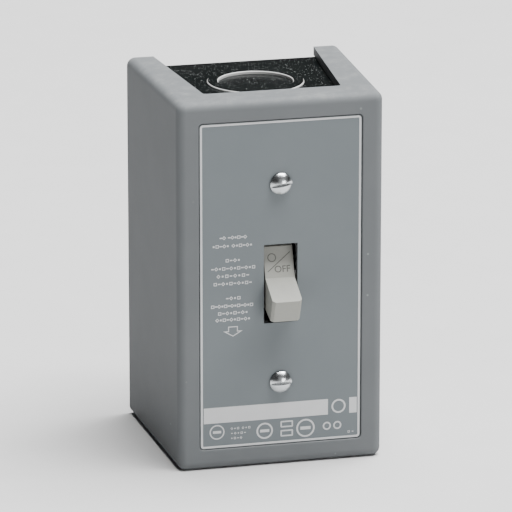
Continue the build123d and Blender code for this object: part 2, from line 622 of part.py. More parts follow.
def strip_screw_places():
    """The (x, z) of the screws that go through the strips into the case: terminals, then heater."""
    return [
        (-HEATER_X, TERMINAL_Z),
        (HEATER_X, -TERMINAL_Z),
        (HEATER_X, HEATER_SCREW_Z),
        (HEATER_X, -HEATER_SCREW_Z),
    ]


def case_back():
    """Flat insulating cover over the case's open back."""
    half_x, half_z = CASE_WIDTH / 2, CASE_HEIGHT / 2
    plate = block((-half_x, half_x), (CHAMBER_BACK_Y, CASE_BACK_Y), (-half_z, half_z))
    plate = fillet(plate.edges().filter_by(Axis.Y), 1.5)
    for side in (-1, 1):
        plate -= rod_y(RIVET_RADIUS, (CHAMBER_BACK_Y - 1, 0), side * RIVET_X, side * RIVET_Z)
    return plate


def case_rivets():
    """Two long rivets through the yoke, the case and its back."""
    rivets = []
    for side in (-1, 1):
        x, z = side * RIVET_X, side * RIVET_Z
        rivet = rod_y(RIVET_RADIUS, (YOKE_FRONT_Y - 0.1, CASE_BACK_Y + 0.1), x, z)
        rivet += rod_y(RIVET_HEAD_RADIUS, (YOKE_FRONT_Y - RIVET_HEAD_HEIGHT, YOKE_FRONT_Y), x, z)
        rivet += rod_y(RIVET_HEAD_RADIUS, (CASE_BACK_Y, CASE_BACK_Y + RIVET_HEAD_HEIGHT), x, z)
        rims = rivet.edges().filter_by(GeomType.CIRCLE).sort_by(Axis.Y)
        rivets.append(chamfer([rims[0], rims[-1]], RIVET_HEAD_HEIGHT * 0.4))
    return Compound(children=rivets)


# ---- current path ----
def fixed_contact_z():
    """Height of the fixed contacts' lower faces: just above the moving contacts when on."""
    tilt = radians(ROCKER_TILT)
    top = ROCKER_SEAT + BRIDGE_THICKNESS + CONTACT_HEIGHT
    corner = BRIDGE_REACH + CONTACT_RADIUS * 0.6
    return corner * sin(tilt) + top * cos(tilt) + CONTACT_GAP_CLOSED


def contact_arm(inner_x, outer_x, top_z):
    """A strip's rear part: a pad over the moving contact and a riser to the strip's long leg."""
    pad_z = fixed_contact_z() + CONTACT_HEIGHT
    rear = CHAMBER_BACK_Y - 0.5
    pad_front = ROCKER_Y + BRIDGE_REACH - STRIP_WIDTH / 2 - 1.0
    pad = block((inner_x, CONTACT_OFFSET + STRIP_WIDTH / 2), (pad_front, rear), (pad_z, pad_z + STRIP))
    riser = block((inner_x, outer_x), (rear - STRIP, rear), (pad_z, top_z))
    return pad + riser


def load_contact():
    """Strip from the right-hand fixed contact to the heater's upper screw."""
    inner = CONTACT_OFFSET - STRIP_WIDTH / 2
    low, high = HEATER_X - STRIP_WIDTH / 2, HEATER_X + STRIP_WIDTH / 2
    top = CHEEK_HALF_HEIGHT - 0.5
    strip = contact_arm(inner, high, top)
    strip += block((low, high), (STRIP_FRONT_Y, CHAMBER_BACK_Y - 0.5), (top - STRIP, top))
    strip += block((low, high), (STRIP_FRONT_Y, STRIP_BACK_Y), (HEATER_SCREW_Z - 3.2, top))
    return strip - rod_y(TAPPED_RADIUS, (STRIP_FRONT_Y - 1, STRIP_BACK_Y + 1), HEATER_X, HEATER_SCREW_Z)


def line_terminal():
    """Strip from the left-hand fixed contact to the supply terminal at the top."""
    inner = CONTACT_OFFSET - STRIP_WIDTH / 2
    low, high = HEATER_X - STRIP_WIDTH / 2, HEATER_X + STRIP_WIDTH / 2
    leg = TERMINAL_Z - 6.5
    strip = contact_arm(inner, high, leg)
    strip += block((low, high), (STRIP_FRONT_Y, CHAMBER_BACK_Y - 0.5), (leg - STRIP, leg))
    strip += block((low, high), (STRIP_FRONT_Y, STRIP_BACK_Y), (leg - STRIP, TERMINAL_Z + 4.8))
    strip -= rod_y(TAPPED_RADIUS, (STRIP_FRONT_Y - 1, STRIP_BACK_Y + 1), HEATER_X, TERMINAL_Z)
    return mirror(strip, Plane.YZ)


def load_terminal():
    """Flat strip from the heater's lower screw to the motor terminal at the bottom."""
    low, high = HEATER_X - STRIP_WIDTH / 2, HEATER_X + STRIP_WIDTH / 2
    strip = block((low, high), (STRIP_FRONT_Y, STRIP_BACK_Y), (-TERMINAL_Z - 4.8, -HEATER_SCREW_Z + 3.2))
    for z in (-TERMINAL_Z, -HEATER_SCREW_Z):
        strip -= rod_y(TAPPED_RADIUS, (STRIP_FRONT_Y - 1, STRIP_BACK_Y + 1), HEATER_X, z)
    return strip


def fixed_contacts():
    """Silver buttons under the two fixed pads."""
    low = fixed_contact_z()
    button = rod_z(CONTACT_RADIUS, (low, low + CONTACT_HEIGHT), CONTACT_OFFSET, contact_y_when_on())
    return mirrored_pair(button, Plane.YZ)


def contact_y_when_on():
    """Where the moving contacts stand when on."""
    tilt = radians(ROCKER_TILT)
    top = ROCKER_SEAT + BRIDGE_THICKNESS + CONTACT_HEIGHT
    return ROCKER_Y + BRIDGE_REACH * cos(tilt) - top * sin(tilt)


def binding_screw(y_seat, x, z):
    """A binding-head screw whose head stands on y_seat and whose shank runs into the case."""
    head = rod_y(TERMINAL_HEAD_RADIUS, (y_seat - 1.5, y_seat), x, z)
    head = chamfer(head.edges().filter_by(GeomType.CIRCLE).sort_by(Axis.Y)[0], 0.4)
    head -= block(
        (x - TERMINAL_HEAD_RADIUS - 1, x + TERMINAL_HEAD_RADIUS + 1),
        (y_seat - 3, y_seat - 0.7),
        (z - 0.45, z + 0.45),
    )
    return head + rod_y(THREAD_RADIUS, (y_seat - 0.1, STRIP_BACK_Y + 4.0), x, z)


def terminal_screws():
    """The two wiring screws."""
    places = strip_screw_places()[:2]
    return Compound(children=[binding_screw(STRIP_FRONT_Y, x, z) for x, z in places])


def heater_screws():
    """The two screws that hold the overload heater."""
    places = strip_screw_places()[2:]
    seat = STRIP_FRONT_Y - BRACKET_THICKNESS
    return Compound(children=[binding_screw(seat, x, z) for x, z in places])


# ---- overload heater and trip parts ----
def heater_bracket():
    """Flat bracket that carries the solder tube between its two screws."""
    y_range = (STRIP_FRONT_Y - BRACKET_THICKNESS, STRIP_FRONT_Y)
    half = STRIP_WIDTH / 2
    reach = CHEEK_HALF_HEIGHT - 1.5
    plate = block((HEATER_X - half, HEATER_X + half), y_range, (-reach, reach))
    plate = fillet(plate.edges().filter_by(Axis.Y), 1.2)
    for x, z in strip_screw_places()[2:]:
        plate -= rod_y(CLEARANCE_RADIUS, (y_range[0] - 1, y_range[1] + 1), x, z)
    return plate - rod_y(TUBE_RADIUS, (y_range[0] - 1, y_range[1] + 1), HEATER_X, 0)


def solder_tube():
    """Tube of melting alloy through the bracket, bored for the ratchet's shaft."""
    back = STRIP_FRONT_Y + 1.2
    front = STRIP_FRONT_Y - BRACKET_THICKNESS - TUBE_LENGTH + 1.2
    tube = rod_y(TUBE_RADIUS, (front, back), HEATER_X, 0)
    tube = chamfer(tube.edges().filter_by(GeomType.CIRCLE).sort_by(Axis.Y)[0], 0.4)
    bore = WHEEL_SHAFT_RADIUS + RUNNING_CLEARANCE
    return tube - rod_y(bore, (front + 1.0, back + 1), HEATER_X, 0)


def heater_winding():
    """Resistance wire wound round the solder tube."""
    back = STRIP_FRONT_Y - BRACKET_THICKNESS - WINDING_WIRE_RADIUS - 0.1
    wire = coil(WINDING_RADIUS, WINDING_WIRE_RADIUS, WINDING_PITCH, 3 * WINDING_PITCH)
    return Pos(HEATER_X, back, 0) * Rot(90, 0, 0) * wire


def ratchet_wheel():
    """Toothed wheel on a shaft that the solder holds still until it melts."""
    outline = []
    for tooth in range(WHEEL_TEETH):
        start = 2 * pi * tooth / WHEEL_TEETH + radians(WHEEL_PHASE)
        rise = start + 2 * pi / WHEEL_TEETH * 0.85
        outline.append((WHEEL_ROOT_RADIUS * cos(start), WHEEL_ROOT_RADIUS * sin(start)))
        outline.append((WHEEL_RADIUS * cos(rise), WHEEL_RADIUS * sin(rise)))
        outline.append((WHEEL_ROOT_RADIUS * cos(rise + 0.02), WHEEL_ROOT_RADIUS * sin(rise + 0.02)))
    placed = [(HEATER_X + x, z) for x, z in outline]
    wheel = front_profile(placed, (WHEEL_BACK_Y - WHEEL_THICKNESS, WHEEL_BACK_Y))
    tube_front = STRIP_FRONT_Y - BRACKET_THICKNESS - TUBE_LENGTH + 1.2
    return wheel + rod_y(WHEEL_SHAFT_RADIUS, (tube_front + 1.5, WHEEL_BACK_Y - 0.1), HEATER_X, 0)


def trip_lever():
    """Lever with a pawl in the ratchet wheel and a long arm into the toggle's chamber."""
    pivot_x, pivot_z = LEVER_PIVOT
    y_range = (LEVER_FRONT_Y, LEVER_BACK_Y)
    low, high = pivot_z - LEVER_BAR_HALF_HEIGHT, pivot_z + LEVER_BAR_HALF_HEIGHT
    bar = block((LEVER_KICKER_X, pivot_x), y_range, (low, high))
    hub = rod_y(LEVER_PIN_RADIUS + 0.9, y_range, pivot_x, pivot_z)
    tip_z = -WHEEL_RADIUS + PAWL_BITE
    foot = [(PAWL_X - 0.9, high - 0.1), (PAWL_X + 1.4, high - 0.1)]
    tip = [(PAWL_X + 0.3, tip_z), (PAWL_X - 0.2, tip_z)]
    pawl = front_profile(foot + tip, y_range)
    kicker_x = (LEVER_KICKER_X, LEVER_KICKER_X + 2.2)
    kicker = block(kicker_x, (LEVER_FRONT_Y, LEVER_BACK_Y + 1.4), (low, high))
    lever = bar + hub + pawl + kicker
    bore_y = (LEVER_FRONT_Y - 1, LEVER_BACK_Y + 1)
    return lever - rod_y(LEVER_PIN_RADIUS + RUNNING_CLEARANCE, bore_y, pivot_x, pivot_z)


def trip_lever_pin():
    """Headed pin that the trip lever turns on."""
    pivot_x, pivot_z = LEVER_PIVOT
    pin = rod_y(LEVER_PIN_RADIUS, (LEVER_FRONT_Y - 0.3, ROCKER_Y + CHEEK_TAIL - 2), pivot_x, pivot_z)
    return pin + rod_y(LEVER_PIN_RADIUS + 0.7, (LEVER_FRONT_Y - 1.1, LEVER_FRONT_Y - 0.2), pivot_x, pivot_z)


def trip_spring():
    """Small compression spring under the trip lever."""
    wire = 0.25
    top = LEVER_PIVOT[1] - LEVER_BAR_HALF_HEIGHT
    length = top - TRIP_SPRING_FOOT - 2 * wire - 0.1
    spring = coil(TRIP_SPRING_RADIUS - wire, wire, TRIP_SPRING_PITCH, length)
    middle_y = (LEVER_FRONT_Y + LEVER_BACK_Y) / 2
    return Pos(TRIP_SPRING_X, middle_y, TRIP_SPRING_FOOT + wire + 0.05) * spring


# ---- toggle, rocker and springs ----
def toggle_outline():
    """The toggle's side outline about its pivot, handle level towards -Y, as (y, z) points."""
    upper = [(TOGGLE_REACH, TOGGLE_TIP_HALF), TOGGLE_ROOT, BARREL_EDGE, BARREL_BACK, BARREL_WAIST]
    lower = [(ahead, -up) for ahead, up in reversed(upper)]
    return [(PIVOT_Y - ahead, up) for ahead, up in upper + lower]


def toggle_handle():
    """Moulded handle and barrel, with a narrow tail for the drive pin, at its off position."""
    half = TOGGLE_WIDTH / 2
    body = side_profile(toggle_outline(), (-half, half))
    tip_y = PIVOT_Y - TOGGLE_REACH
    tip_edges = [
        edge
        for edge in body.edges()
        if abs(edge.center().Y - tip_y) < 0.01 and abs(abs(edge.center().X) - half) < 0.01
    ]
    body = chamfer(tip_edges, TIP_CHAMFER)
    waist, waist_half = BARREL_WAIST
    tail_end = DRIVE_PIN_REACH
    tail = side_profile(
        [
            (PIVOT_Y - waist - 1.5, -waist_half + 1.0),
            (PIVOT_Y + tail_end, -TAIL_RADIUS),
            (PIVOT_Y + tail_end, TAIL_RADIUS),
            (PIVOT_Y - waist - 1.5, waist_half - 1.0),
        ],
        (-TAIL_HALF_WIDTH, TAIL_HALF_WIDTH),
    )
    tail += rod_x(TAIL_RADIUS, (-TAIL_HALF_WIDTH, TAIL_HALF_WIDTH), PIVOT_Y + tail_end, 0)
    body += tail
    body -= rod_x(DRIVE_PIN_RADIUS, (-half, half), PIVOT_Y + DRIVE_PIN_REACH, 0)
    body -= rod_x(PIVOT_PIN_RADIUS + RUNNING_CLEARANCE, (-half - 1, half + 1), PIVOT_Y, 0)
    return turned_about_x(body, OFF_TILT, PIVOT_Y)


def toggle_drive_pin():
    """Cross pin in the toggle's tail. It moves the rocker's fork and pulls on the springs."""
    ends = (-DRIVE_PIN_HALF_LENGTH, DRIVE_PIN_HALF_LENGTH)
    return turned_about_x(rod_x(DRIVE_PIN_RADIUS, ends, PIVOT_Y + DRIVE_PIN_REACH, 0), OFF_TILT, PIVOT_Y)


def toggle_pin():
    """Plain pin between the yoke's two lugs."""
    half = YOKE_WINDOW_WIDTH / 2
    return rod_x(PIVOT_PIN_RADIUS, (-half, half), PIVOT_Y, 0)


def rocker_pin():
    """Plain pin from cheek to cheek of the case."""
    return rod_x(PIVOT_PIN_RADIUS, (-CHEEK_OUTER, CHEEK_OUTER), ROCKER_Y, 0)


def contact_rocker():
    """Moulded rocker: a fork round the drive pin in front, and the bridge's seat behind."""
    ahead = ROCKER_Y - FORK_REACH
    slot_half = DRIVE_PIN_RADIUS + FORK_SLOT_CLEARANCE
    prong_x = (FORK_INNER_HALF, FORK_OUTER_HALF)
    prong = block(prong_x, (ahead, ROCKER_Y), (-FORK_HALF_HEIGHT, FORK_HALF_HEIGHT))
    slot_end = ROCKER_Y - ROCKER_PIVOT_REACH + DRIVE_PIN_REACH + DRIVE_PIN_RADIUS + 0.6
    prong_cut_x = (FORK_INNER_HALF - 1, FORK_OUTER_HALF + 1)
    prong -= block(prong_cut_x, (ahead - 1, slot_end), (-slot_half, slot_half))
    hub = rod_x(ROCKER_HUB_RADIUS, (-FORK_OUTER_HALF, FORK_OUTER_HALF), ROCKER_Y, 0)
    seat_back = ROCKER_Y + BRIDGE_REACH + BRIDGE_WIDTH / 2
    seat = block((-3.6, 3.6), (ROCKER_Y, seat_back), (-ROCKER_SEAT, ROCKER_SEAT))
    rocker = hub + prong + mirror(prong, Plane.YZ) + seat
    rocker -= rod_x(PIVOT_PIN_RADIUS + RUNNING_CLEARANCE, (-9, 9), ROCKER_Y, 0)
    stud_z = (ROCKER_SEAT - 0.1, ROCKER_SEAT + BRIDGE_THICKNESS)
    rocker += rod_z(1.0, stud_z, 0, ROCKER_Y + BRIDGE_REACH)
    return turned_about_x(rocker, -ROCKER_TILT, ROCKER_Y)


def contact_bridge():
    """Copper strip across the rocker's seat."""
    middle = ROCKER_Y + BRIDGE_REACH
    strip = block(
        (-BRIDGE_HALF_LENGTH, BRIDGE_HALF_LENGTH),
        (middle - BRIDGE_WIDTH / 2, middle + BRIDGE_WIDTH / 2),
        (ROCKER_SEAT, ROCKER_SEAT + BRIDGE_THICKNESS),
    )
    strip = fillet(strip.edges().filter_by(Axis.Z), 1.2)
    strip -= rod_z(1.0, (ROCKER_SEAT - 1, ROCKER_SEAT + 2), 0, middle)
    return turned_about_x(strip, -ROCKER_TILT, ROCKER_Y)


def moving_contacts():
    """Silver buttons on the bridge's two ends."""
    low = ROCKER_SEAT + BRIDGE_THICKNESS
    button = rod_z(CONTACT_RADIUS, (low, low + CONTACT_HEIGHT), CONTACT_OFFSET, ROCKER_Y + BRIDGE_REACH)
    rim = button.edges().filter_by(GeomType.CIRCLE).sort_by(Axis.Z)[-1]
    button = chamfer(rim, CONTACT_HEIGHT * 0.5)
    return turned_about_x(mirrored_pair(button, Plane.YZ), -ROCKER_TILT, ROCKER_Y)


def extension_spring():
    """One spring from its front eye at the origin to its rear eye along +Y."""
    wire = SPRING_WIRE_RADIUS
    front_eye = SPRING_POST_RADIUS + SPRING_EYE_CLEARANCE + wire
    rear_eye = DRIVE_PIN_RADIUS + SPRING_EYE_CLEARANCE + wire
    start = front_eye + SPRING_HOOK
    stop = SPRING_LENGTH - rear_eye - SPRING_HOOK
    spring = Pos(0, start, 0) * Rot(-90, 0, 0) * coil(SPRING_COIL_RADIUS, wire, SPRING_PITCH, stop - start)
    ends = spring.faces().filter_by(GeomType.PLANE).sort_by(Axis.Y)
    eye_edges = (Vector(0, front_eye, 0), Vector(0, SPRING_LENGTH - rear_eye, 0))
    for near, far in zip((ends[0].center(), ends[-1].center()), eye_edges):
        reach = far - near
        spring += Pos(*near) * Sphere(wire * 1.15)
        middle = Pos(0, 0, reach.length / 2)
        spring += Plane(origin=near, z_dir=reach) * middle * Cylinder(wire * 1.1, reach.length)
    spring += Rot(0, 90, 0) * Torus(front_eye, wire)
    spring += Pos(0, SPRING_LENGTH, 0) * Rot(0, 90, 0) * Torus(rear_eye, wire)
    return spring


def over_centre_springs():
    """The two springs that snap the toggle to either end of its travel."""
    spring = Pos(SPRING_OFFSET, POST_Y, 0) * Rot(SPRING_TILT, 0, 0) * extension_spring()
    return mirrored_pair(spring, Plane.YZ)


NODES = {
    "back_box": back_box,
    "cover": cover,
    "nameplate": nameplate,
    "cover_screws": cover_screws,
    "yoke_screws": yoke_screws,
    "ground_screw": ground_screw,
    "mounting_yoke": mounting_yoke,
    "spring_posts": spring_posts,
    "case_body": case_body,
    "case_back": case_back,
    "case_rivets": case_rivets,
    "line_terminal": line_terminal,
    "load_contact": load_contact,
    "load_terminal": load_terminal,
    "fixed_contacts": fixed_contacts,
    "terminal_screws": terminal_screws,
    "heater_bracket": heater_bracket,
    "heater_screws": heater_screws,
    "heater_winding": heater_winding,
    "solder_tube": solder_tube,
    "ratchet_wheel": ratchet_wheel,
    "trip_lever": trip_lever,
    "trip_lever_pin": trip_lever_pin,
    "trip_spring": trip_spring,
    "toggle_handle": toggle_handle,
    "toggle_drive_pin": toggle_drive_pin,
    "toggle_pin": toggle_pin,
    "rocker_pin": rocker_pin,
    "contact_rocker": contact_rocker,
    "contact_bridge": contact_bridge,
    "moving_contacts": moving_contacts,
    "over_centre_springs": over_centre_springs,
}

os.makedirs("parts", exist_ok=True)
for name, make in NODES.items():
    export_step(make(), f"parts/{name}.step")
    print(name)
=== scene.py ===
"""Surface-mounted toggle starter: finishes, nameplate print, toggle mark, springs, light and camera."""

from __future__ import annotations

import json
import logging
import math
from dataclasses import dataclass, field
from enum import Enum

import bpy
from mathutils import Matrix, Vector

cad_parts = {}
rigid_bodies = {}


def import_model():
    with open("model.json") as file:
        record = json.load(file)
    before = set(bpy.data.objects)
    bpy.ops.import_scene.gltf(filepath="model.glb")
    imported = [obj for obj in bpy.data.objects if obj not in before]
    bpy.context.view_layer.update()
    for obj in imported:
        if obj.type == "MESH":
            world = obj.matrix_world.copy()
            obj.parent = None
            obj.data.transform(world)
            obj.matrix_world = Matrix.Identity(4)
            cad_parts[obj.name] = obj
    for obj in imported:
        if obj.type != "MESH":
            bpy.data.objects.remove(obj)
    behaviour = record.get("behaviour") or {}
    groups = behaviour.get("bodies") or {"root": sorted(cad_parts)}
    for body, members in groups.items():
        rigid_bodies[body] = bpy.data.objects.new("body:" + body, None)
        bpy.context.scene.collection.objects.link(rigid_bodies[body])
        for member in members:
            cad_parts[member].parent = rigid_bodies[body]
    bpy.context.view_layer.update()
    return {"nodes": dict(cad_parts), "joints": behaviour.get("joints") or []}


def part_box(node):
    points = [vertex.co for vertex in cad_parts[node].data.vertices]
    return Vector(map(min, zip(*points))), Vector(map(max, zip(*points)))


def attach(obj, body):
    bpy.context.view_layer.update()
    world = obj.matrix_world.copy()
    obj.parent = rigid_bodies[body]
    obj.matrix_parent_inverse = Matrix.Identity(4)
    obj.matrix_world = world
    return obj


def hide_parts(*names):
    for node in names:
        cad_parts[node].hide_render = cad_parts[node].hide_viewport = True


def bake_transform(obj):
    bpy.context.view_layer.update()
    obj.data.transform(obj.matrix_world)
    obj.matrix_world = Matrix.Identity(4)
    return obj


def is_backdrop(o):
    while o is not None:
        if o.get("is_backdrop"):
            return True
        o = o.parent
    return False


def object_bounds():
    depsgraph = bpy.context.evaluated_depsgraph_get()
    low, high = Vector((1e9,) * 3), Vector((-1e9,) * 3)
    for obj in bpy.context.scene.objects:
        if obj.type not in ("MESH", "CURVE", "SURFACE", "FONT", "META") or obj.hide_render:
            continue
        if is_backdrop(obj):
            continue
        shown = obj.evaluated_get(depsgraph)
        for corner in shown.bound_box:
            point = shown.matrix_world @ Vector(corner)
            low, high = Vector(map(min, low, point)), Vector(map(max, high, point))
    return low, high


LOG = logging.getLogger("toggle_starter")
MM = 0.001

Colour = tuple[float, float, float]
Row = tuple[float, float, float, tuple[int, ...]]  # height, left end, right end and group lengths

DUST_GREY: Colour = (0.55, 0.54, 0.51)
# painted shade for the screws' slot walls and rims
SLOT_PAINTED_SHADE: Colour = (0.05, 0.05, 0.05)
# bare punched metal with a painted highlight, pale grey on the enamel's knockout walls
BARE_STEEL_AND_HIGHLIGHT: Colour = (0.60, 0.60, 0.59)
BARE_AND_HIGHLIGHT_SHARE = 0.85  # how much bare metal and painted highlight shows on a punched edge
PUNCHED_HALF_WIDTH = 15.0  # millimetres, of the region that holds a knockout
PUNCHED_DEPTHS = (-42.5, -12.0)  # millimetres along Y, of the same region
FACES_UP = (0.25, 0.95)  # upward share of a normal, from where dust starts to where it is full
PIT_SHARPNESS = 12.0
DUST_ROUGHNESS = 0.4  # what full dust adds to the roughness
PIT_DEPTH = 0.8  # of a pit, as a share of the grain's relief
BUMP_STRENGTH = 0.6
COAT_ROUGHNESS = 0.12
GROUP_GAP = 0.6  # between two groups of print, as a share of the pitch
MOTTLE_RANGE = (0.3, 0.7)  # of the broad noise, over which the base colour turns into its shade
RUB_RANGE = (0.35, 0.65)  # of the same noise, over which an edge turns from kept to rubbed
DUST_RANGE = (0.42, 0.72)  # of the dust's own noise, from bare to covered
DUST_SCALE = 260.0
SLOT_TURN = (0.20, 0.08)  # front share of a normal, from a slot wall's edge to a wall seen square
PUNCHED_TURN = (0.97, 0.80)  # upward share of a normal, from the sheet's face to a punched wall
BRUSHED_STRETCH = 0.06  # of brushed grain along Z
CORNER_SEGMENTS = 5


# ---------------------------------------------------------------- node helpers
class Sheet:
    """A node tree with short ways to add and join nodes."""

    def __init__(self, tree: bpy.types.NodeTree) -> None:
        """Wraps a node tree."""
        self.tree = tree

    def add(self, kind: str, **values: object) -> bpy.types.Node:
        """Adds a node and sets its inputs by name, or its properties when no input has the name.

        Args:
            kind: The node's type, such as ShaderNodeMath.
            **values: Input or property values. A value that is a socket is linked.

        Returns:
            The new node.
        """
        node = self.tree.nodes.new(kind)
        for name, value in values.items():
            if hasattr(node, name) and name.islower():
                setattr(node, name, value)
        for name, value in values.items():
            if hasattr(node, name) and name.islower():
                continue
            self.put(node.inputs[name.replace("_", " ")], value)
        return node

    def put(self, socket: bpy.types.NodeSocket, value: object) -> None:
        """Links a socket to another socket, or sets its plain value.

        Args:
            socket: The input socket.
            value: An output socket, a number, a vector or a colour.
        """
        if isinstance(value, bpy.types.NodeSocket):
            self.tree.links.new(value, socket)
        elif socket.type == "RGBA":
            socket.default_value = (*value[:3], 1.0)
        else:
            socket.default_value = value

    def maths(
        self, operation: str, first: object, second: object = 0.0, clamp: bool = False
    ) -> bpy.types.NodeSocket:
        """Adds a Math node.

        Args:
            operation: The Math node's operation.
            first: Its first value or socket.
            second: Its second value or socket.
            clamp: Whether the result is kept between 0 and 1.

        Returns:
            The result's socket.
        """
        node = self.add("ShaderNodeMath", operation=operation)
        node.use_clamp = clamp
        self.put(node.inputs[0], first)
        self.put(node.inputs[1], second)
        return node.outputs[0]

    def blend(self, share: object, first: object, second: object) -> bpy.types.NodeSocket:
        """Adds a colour Mix node.

        Args:
            share: How much of the second colour shows.
            first: The first colour.
            second: The second colour.

        Returns:
            The mixed colour's socket.
        """
        node = self.tree.nodes.new("ShaderNodeMix")
        node.data_type = "RGBA"
        self.put(node.inputs[0], share)
        self.put(node.inputs[6], first)
        self.put(node.inputs[7], second)
        return node.outputs[2]

    def ramp(self, value: object, low: float, high: float) -> bpy.types.NodeSocket:
        """Adds a smooth step from 0 at low to 1 at high.

        Args:
            value: The value's socket.
            low: The value that gives 0.
            high: The value that gives 1.

        Returns:
            The step's socket.
        """
        node = self.tree.nodes.new("ShaderNodeMapRange")
        node.interpolation_type = "SMOOTHSTEP"
        self.put(node.inputs["Value"], value)
        node.inputs["From Min"].default_value = low
        node.inputs["From Max"].default_value = high
        return node.outputs["Result"]


class Effects:
    """The shader node groups that several finishes share, each built once."""

    def __init__(self) -> None:
        """Builds every group."""
        self.mottle = self._mottle()
        self.pits = self._pits()
        self.edges = self._edges()
        self.dust = self._dust()

    @staticmethod
    def _group(
        name: str, inputs: list[tuple[str, str, object]], outputs: list[str]
    ) -> tuple[Sheet, dict, bpy.types.Node]:
        """Makes an empty group with its sockets.

        Args:
            name: The group's name.
            inputs: Name, socket type and default of each input.
            outputs: Names of the float outputs.

        Returns:
            The group's sheet, its input sockets by name, and its output node.
        """
        tree = bpy.data.node_groups.new(name, "ShaderNodeTree")
        for label, kind, default in inputs:
            socket = tree.interface.new_socket(name=label, in_out="INPUT", socket_type=kind)
            if default is not None:
                socket.default_value = default
        for label in outputs:
            tree.interface.new_socket(name=label, in_out="OUTPUT", socket_type="NodeSocketFloat")
        sheet = Sheet(tree)
        entry = tree.nodes.new("NodeGroupInput")
        leave = tree.nodes.new("NodeGroupOutput")
        return sheet, {socket.name: socket for socket in entry.outputs if socket.name}, leave

    def _mottle(self) -> bpy.types.NodeTree:
        """Builds broad colour variation with a fine grain on it, about 0.5.

        Returns:
            The node group.
        """
        sheet, given, leave = self._group(
            "mottle",
            [
                ("Vector", "NodeSocketVector", None),
                ("Broad Scale", "NodeSocketFloat", 60.0),
                ("Fine Scale", "NodeSocketFloat", 900.0),
            ],
            ["Broad", "Fine"],
        )
        spot = given["Vector"]
        coarse, close = given["Broad Scale"], given["Fine Scale"]
        broad = sheet.add("ShaderNodeTexNoise", Vector=spot, Scale=coarse, Detail=4.0, Roughness=0.6)
        fine = sheet.add("ShaderNodeTexNoise", Vector=spot, Scale=close, Detail=6.0, Roughness=0.7)
        sheet.put(leave.inputs["Broad"], broad.outputs["Fac"])
        sheet.put(leave.inputs["Fine"], fine.outputs["Fac"])
        return sheet.tree

    def _pits(self) -> bpy.types.NodeTree:
        """Builds scattered small pits and specks.

        Returns:
            The node group.
        """
        sheet, given, leave = self._group(
            "pits",
            [
                ("Vector", "NodeSocketVector", None),
                ("Scale", "NodeSocketFloat", 700.0),
                ("Share", "NodeSocketFloat", 0.1),
                ("Size", "NodeSocketFloat", 0.3),
            ],
            ["Mask", "Random"],
        )
        cells = sheet.add("ShaderNodeTexVoronoi", Vector=given["Vector"], Scale=given["Scale"])
        tint = sheet.add("ShaderNodeSeparateColor", Color=cells.outputs["Color"])
        chosen = sheet.maths("LESS_THAN", tint.outputs[0], given["Share"])
        reach = sheet.maths("MULTIPLY", given["Size"], tint.outputs[1])
        inside = sheet.maths("SUBTRACT", reach, cells.outputs["Distance"])
        near = sheet.maths("MULTIPLY", inside, PIT_SHARPNESS, clamp=True)
        sheet.put(leave.inputs["Mask"], sheet.maths("MULTIPLY", chosen, near))
        sheet.put(leave.inputs["Random"], tint.outputs[2])
        return sheet.tree

    def _edges(self) -> bpy.types.NodeTree:
        """Builds a mask that is 1 near the twelve edges of a box.

        Returns:
            The node group.
        """
        sheet, given, leave = self._group(
            "box_edges",
            [
                ("Vector", "NodeSocketVector", None),
                ("Centre", "NodeSocketVector", None),
                ("Half", "NodeSocketVector", None),
                ("Width", "NodeSocketFloat", 0.001),
            ],
            ["Mask"],
        )
        shifted = sheet.add("ShaderNodeVectorMath", operation="SUBTRACT")
        sheet.put(shifted.inputs[0], given["Vector"])
        sheet.put(shifted.inputs[1], given["Centre"])
        folded = sheet.add("ShaderNodeVectorMath", operation="ABSOLUTE")
        sheet.put(folded.inputs[0], shifted.outputs[0])
        inset = sheet.add("ShaderNodeVectorMath", operation="SUBTRACT")
        sheet.put(inset.inputs[0], given["Half"])
        sheet.put(inset.inputs[1], folded.outputs[0])
        parts = sheet.add("ShaderNodeSeparateXYZ", Vector=inset.outputs[0])
        x, y, z = (parts.outputs[axis] for axis in ("X", "Y", "Z"))
        low, high = sheet.maths("MINIMUM", x, y), sheet.maths("MAXIMUM", x, y)
        middle = sheet.maths("MAXIMUM", low, sheet.maths("MINIMUM", high, z))
        share = sheet.maths("DIVIDE", middle, given["Width"], clamp=True)
        sheet.put(leave.inputs["Mask"], sheet.maths("SUBTRACT", 1.0, share, clamp=True))
        return sheet.tree

    def _dust(self) -> bpy.types.NodeTree:
        """Builds a mask of dust that settles on faces turned up.

        Returns:
            The node group.
        """
        sheet, given, leave = self._group(
            "settled_dust",
            [
                ("Vector", "NodeSocketVector", None),
                ("Normal", "NodeSocketVector", None),
                ("Amount", "NodeSocketFloat", 0.2),
            ],
            ["Mask"],
        )
        parts = sheet.add("ShaderNodeSeparateXYZ", Vector=given["Normal"])
        facing = sheet.ramp(parts.outputs["Z"], *FACES_UP)
        spot = given["Vector"]
        clumps = sheet.add("ShaderNodeTexNoise", Vector=spot, Scale=DUST_SCALE, Detail=8.0, Roughness=0.75)
        patchy = sheet.ramp(clumps.outputs["Fac"], *DUST_RANGE)
        lying = sheet.maths("MULTIPLY", facing, patchy)
        sheet.put(leave.inputs["Mask"], sheet.maths("MULTIPLY", lying, given["Amount"], clamp=True))
        return sheet.tree


# ---------------------------------------------------------------- finishes
class Texture(Enum):
    """How a surface was made, which sets the direction of its grain."""

    MOULDED = "moulded"
    BRUSHED = "brushed"
    ENAMEL = "enamel"
    TUMBLED = "tumbled"


